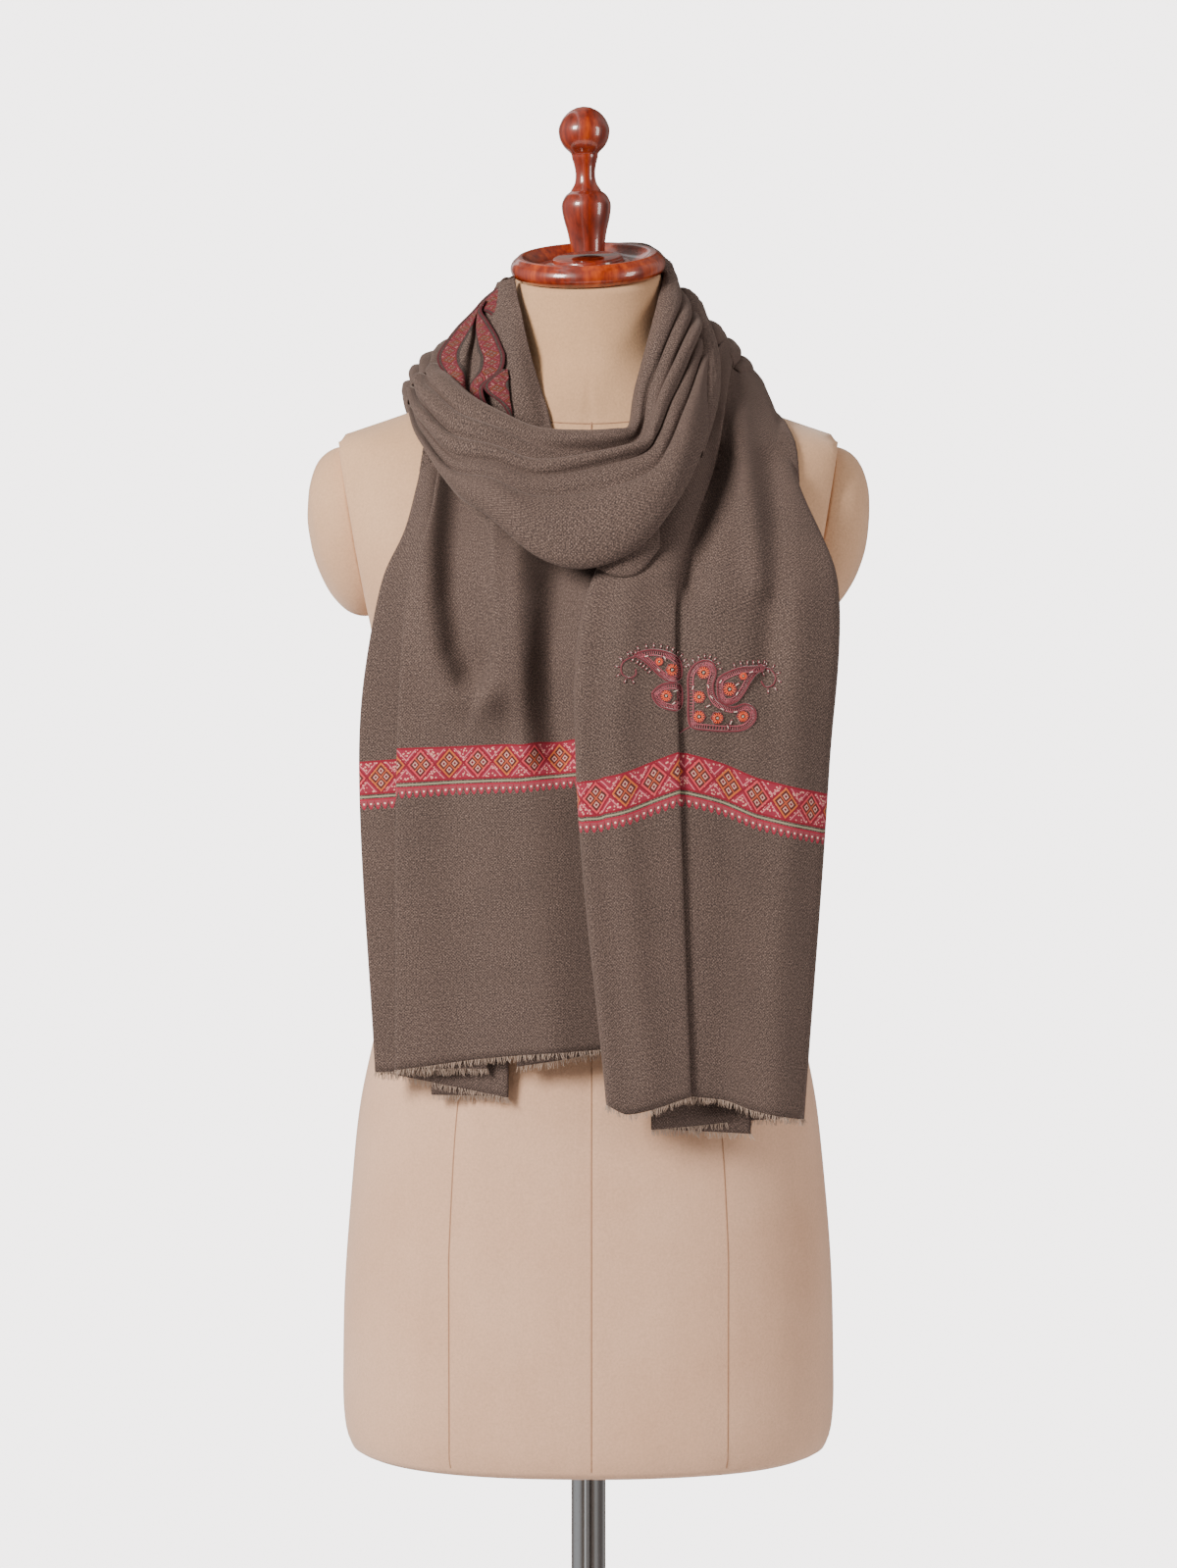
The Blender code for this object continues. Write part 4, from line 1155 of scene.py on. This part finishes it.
def spoke(angle):
    return Vector((math.cos(angle), 0, math.sin(angle)))


def bud(foot, way):
    """A crimson bud with an ivory stitch inside it."""
    return [
        ("crimson", [foot, foot + way * 0.0030], 0.85),
        ("ivory", [foot + way * 0.0011, foot + way * 0.0021], 0.30),
    ]


def spray_stitches():
    """Every stitch of the spray, as (thread, line of points in the plane, width)."""
    pick = random.Random(11)
    made = []
    for name, outline in PAISLEYS:
        loop = closed_curve(outline, 7)
        made.append(("crimson", loop + loop[:1], 0.85))
        area = sum(p.x * q.z - q.x * p.z for p, q in zip(loop, loop[1:] + loop[:1]))
        turn = 1 if area > 0 else -1
        count = len(loop)
        inner = []
        for k, point in enumerate(loop):
            ahead = (loop[(k + 1) % count] - loop[k - 1]).normalized()
            inward = Vector((-ahead.z, 0, ahead.x)) * turn
            inner.append(point + inward * 0.0034)
            reach = pick.uniform(0.0024, 0.0034)
            made.append(("rose", [point + inward * 0.0009, point + inward * reach], 0.40))
            if "leaf" in name and k % 3 == 0 and (point.z > 1.183 or point.x < 0.036 or point.x > 0.112):
                made += bud(point - inward * 0.0013, -inward)
        made.append(("rose", inner + inner[:1], 0.45))
    for curl in CURLS:
        line = smooth_line([Vector((x, 0, z)) * MM for x, z in curl], [6] * (len(curl) - 1))
        made.append(("crimson", line, 0.62))
        for k in range(2, len(line) - 8, 4):
            ahead = (line[k + 1] - line[k - 1]).normalized()
            out = Vector((-ahead.z, 0, ahead.x)) * (-1 if curl[0][0] < 60 else 1)
            made += bud(line[k] + out * 0.0012, out)
    for x, z, slant in LEAFLETS:
        middle = Vector((x, 0, z)) * MM
        way = spoke(slant) * 0.0015
        made.append(("crimson", [middle - way * 1.4, middle + way * 1.4], 0.95))
        made.append(("ivory", [middle - way * 0.8, middle + way * 0.8], 0.38))
    for x, z, radius in FLORETS:
        centre = Vector((x, 0, z)) * MM
        ring = []
        for k in range(21):
            angle = math.tau * k / 20
            reach = radius * (0.92 + 0.10 * math.cos(6 * angle)) * MM
            ring.append(centre + spoke(angle) * reach)
        made.append(("crimson", ring, 0.50))
        for k in range(14):
            way = spoke(math.tau * k / 14)
            petal = [centre + way * radius * 0.36 * MM, centre + way * radius * 0.84 * MM]
            made.append(("marigold", petal, 0.62))
        for k in range(4):
            way = spoke(math.tau * k / 4 + 0.6) * radius * 0.20 * MM
            made.append(("ivory", [centre - way, centre + way], 0.42))
    stem = [Vector((x, 0, z)) * MM for x, z in ((60, 1142), (63, 1144), (67, 1146))]
    made.append(("crimson", smooth_line(stem, [4, 4]), 0.6))
    return made


def build_spray(cloth, threads):
    """The stitches laid on the cloth's front, one object for each colour of thread."""
    tree = BVHTree.FromObject(cloth, bpy.context.evaluated_depsgraph_get())
    made = {thread: new_curve(f"spray_{thread}_stitches", MM) for thread in THREAD_COLOURS}
    for thread, line, width in spray_stitches():
        laid = []
        for point in line:
            hit = tree.ray_cast(Vector((point.x, -0.5, point.z)), Vector((0, 1, 0)))
            if hit[0] is not None:
                lift = THREAD_LIFTS[thread]
                laid.append(hit[0] + hit[1] * (lift if hit[1].y < 0 else -lift))
        if len(laid) > 1:
            widths = [width * 0.75] + [width] * (len(laid) - 2) + [width * 0.75]
            add_thread(made[thread], laid, widths)
    return [link_piece(curve.name, curve, threads[thread]) for thread, curve in made.items()]


# ---------------------------------------------------------------- assembly


def build_shawl(torso):
    """Every layer of the shawl, each resting on what it is draped over."""
    tree = BVHTree.FromObject(torso, bpy.context.evaluated_depsgraph_get())
    plain, worked = pashmina_cloth(False), pashmina_cloth(True)
    yarn = silk_thread("loose_pashmina_yarn", "a08a7a")
    threads = {name: silk_thread(f"{name}_embroidery_silk", code) for name, code in THREAD_COLOURS.items()}
    left, left_hem = build_tail(
        "pashmina_left_tail", LEFT_TAIL_FOLDS, LEFT_TAIL_PATH, LEFT_TAIL_DRAPE,
        worked, "shawl_tail_left", tree,
    )
    right, right_hem = build_tail(
        "pashmina_right_tail", RIGHT_TAIL_FOLDS, RIGHT_TAIL_PATH, RIGHT_TAIL_DRAPE,
        worked, "shawl_tail_right", tree,
    )
    left_fringe = build_fringe("left_tail_fringe", left_hem, yarn, 3)
    right_fringe = build_fringe("right_tail_fringe", right_hem, yarn, 4)
    spray = build_spray(right, threads)
    rows = turn_rows(COWL_SECTIONS, COWL_CREASES, COWL_SWELLS, (9, 9, 12, 6, 26), 180, 12, 5)
    cowl = build_turn("pashmina_cowl", rows, plain, ["shawl_cowl"], tree)
    rows = turn_rows(BACK_SECTIONS, BACK_CREASES, BACK_SWELLS, (14, 14, 14, 14), 150, 8, 5)
    back = build_turn("pashmina_back_wrap", rows, plain, ["shawl_back_wrap"], tree)
    rows = turn_rows(NECK_SECTIONS, NECK_CREASES, NECK_SWELLS, (9, 9, 9), 100, 3, 3)
    neck = build_turn("pashmina_neck_band", rows, plain, ["shawl_neck_band"], tree)
    rows = turn_rows(TIP_SECTIONS, (), ((1, 1, 1),), (16,), 36, 1, 1.5)
    tip = build_turn("pashmina_cowl_tip", rows, plain, ["shawl_cowl_tip"], tree)
    rise = ["shawl_left_rise"]
    panel = build_rise_part(
        "pashmina_left_rise", RISE_PANEL, RISE_PANEL_DEPTHS, "", 10, 70, plain, rise, tree
    )
    lapel = build_rise_part(
        "pashmina_bordered_lapel", RISE_LAPEL, RISE_LAPEL_DEPTHS, "LR", 7, 80, worked, rise, tree
    )
    turned_back = build_rise_part(
        "pashmina_lapel_return", RISE_RETURN, RISE_RETURN_DEPTHS, "L", 8, 36, worked, rise, tree
    )
    corner = build_rise_part(
        "pashmina_lapel_corner", RISE_CORNER, RISE_CORNER_DEPTHS, "L", 6, 20, worked, rise, tree
    )
    rows = turn_rows(LIP_SECTIONS, (), ((3, 4, 3),), (18,), 70, 2, 3)
    lip = build_turn("pashmina_cowl_outer_layer", rows, plain, ["shawl_cowl"], tree)


def soft_light(name, place, target, width, height, power, colour):
    lamp = bpy.data.lights.new(name, "AREA")
    lamp.shape = "RECTANGLE"
    lamp.size, lamp.size_y = width, height
    lamp.energy = power
    lamp.color = linear(colour)[:3]
    holder = bpy.data.objects.new(name, lamp)
    holder.location = place
    holder.rotation_euler = (Vector(target) - Vector(place)).to_track_quat("-Z", "Y").to_euler()
    bpy.context.scene.collection.objects.link(holder)


# The room that the chrome and the varnish mirror, from its left side to its right: a bright window
# between warm dark gaps
ROOM_TONES = (
    (0.20, "74685f"),
    (0.275, "8a8078"),
    (0.30, "ffffff"),
    (0.335, "ffffff"),
    (0.36, "9a948f"),
    (0.50, "8f8985"),
    (0.60, "3c322c"),
    (0.75, "7c7068"),
    (0.88, "aaa6a2"),
)
BACKDROP = (4.4, 4.2, 4.15, 1.0)  # linear light, bright enough to come out nearly white


def build_studio():
    """A pale floor and an even pale room, with a big soft light from the upper left front."""
    material, tree, shader = new_material("matt_white_studio_paint")
    patch = noise_at(tree, object_place(tree), Scale=3.0, Detail=3.0)
    colour = blend(tree, patch, linear("e6e3e2"), linear("eeebea"))
    connect(tree, shader, [("Base Color", colour), ("Roughness", 0.9)])
    bm = bmesh.new()
    bmesh.ops.create_circle(bm, cap_ends=True, segments=96, radius=1.55)
    floor = bpy.data.objects.new("studio_floor", mesh_of("studio_floor", bm))
    floor.data.materials.append(material)
    bpy.context.scene.collection.objects.link(floor)
    world = bpy.data.worlds.new("pale_studio")
    world.use_nodes = True
    tree = world.node_tree
    # pale walls with darker gaps between them, which the chrome shows; the camera sees only the backdrop
    room = add_node(tree, "ShaderNodeTexCoord").outputs["Generated"]
    across, _, up = parts_of(tree, room)
    side = spread(tree, across, From_Min=-1.0, From_Max=1.0)
    ramp = colour_ramp(tree, side, (0.0, "c4c4c4"), (1.0, "6a625e"), ROOM_TONES)
    ramp.color_ramp.interpolation = "EASE"
    above = spread(tree, up, From_Min=-1.0, From_Max=1.0, To_Min=0.35, To_Max=1.7)
    glow = toned(tree, ramp.outputs[0], above)
    seen = add_node(tree, "ShaderNodeLightPath").outputs["Is Camera Ray"]
    backdrop = blend(tree, seen, glow, BACKDROP)
    connect(tree, tree.nodes["Background"], [("Color", backdrop)])
    bpy.context.scene.world = world
    aim = (0, 0, 1.15)
    soft_light("key_softbox", (-2.1, -2.2, 2.5), aim, 0.9, 1.2, 215, "fff6ee")
    soft_light("fill_softbox", (2.5, -1.2, 1.6), aim, 0.7, 1.8, 45, "fff4ee")


def build_camera():
    """A long lens in front, level with the neck and tipped down a little."""
    lens = bpy.data.cameras.new("studio_camera")
    lens.lens = 106.2
    lens.clip_end = 50
    camera = bpy.data.objects.new("studio_camera", lens)
    camera.location = (0, -3.2, 1.337)
    aim = Vector((0, 0, 1.097)) - camera.location
    camera.rotation_euler = aim.to_track_quat("-Z", "Y").to_euler()
    bpy.context.scene.collection.objects.link(camera)
    bpy.context.scene.camera = camera


suede = suede_cover()
torso = build_form(suede)
build_seams(torso, seam_shadow())
build_arm_cap("padded_left_arm_cap", -1, suede, "arm_cap_left")
build_arm_cap("padded_right_arm_cap", 1, suede, "arm_cap_right")
build_wood_and_stand(varnished_wood(), chrome_plate())
build_shawl(torso)
build_studio()
build_camera()
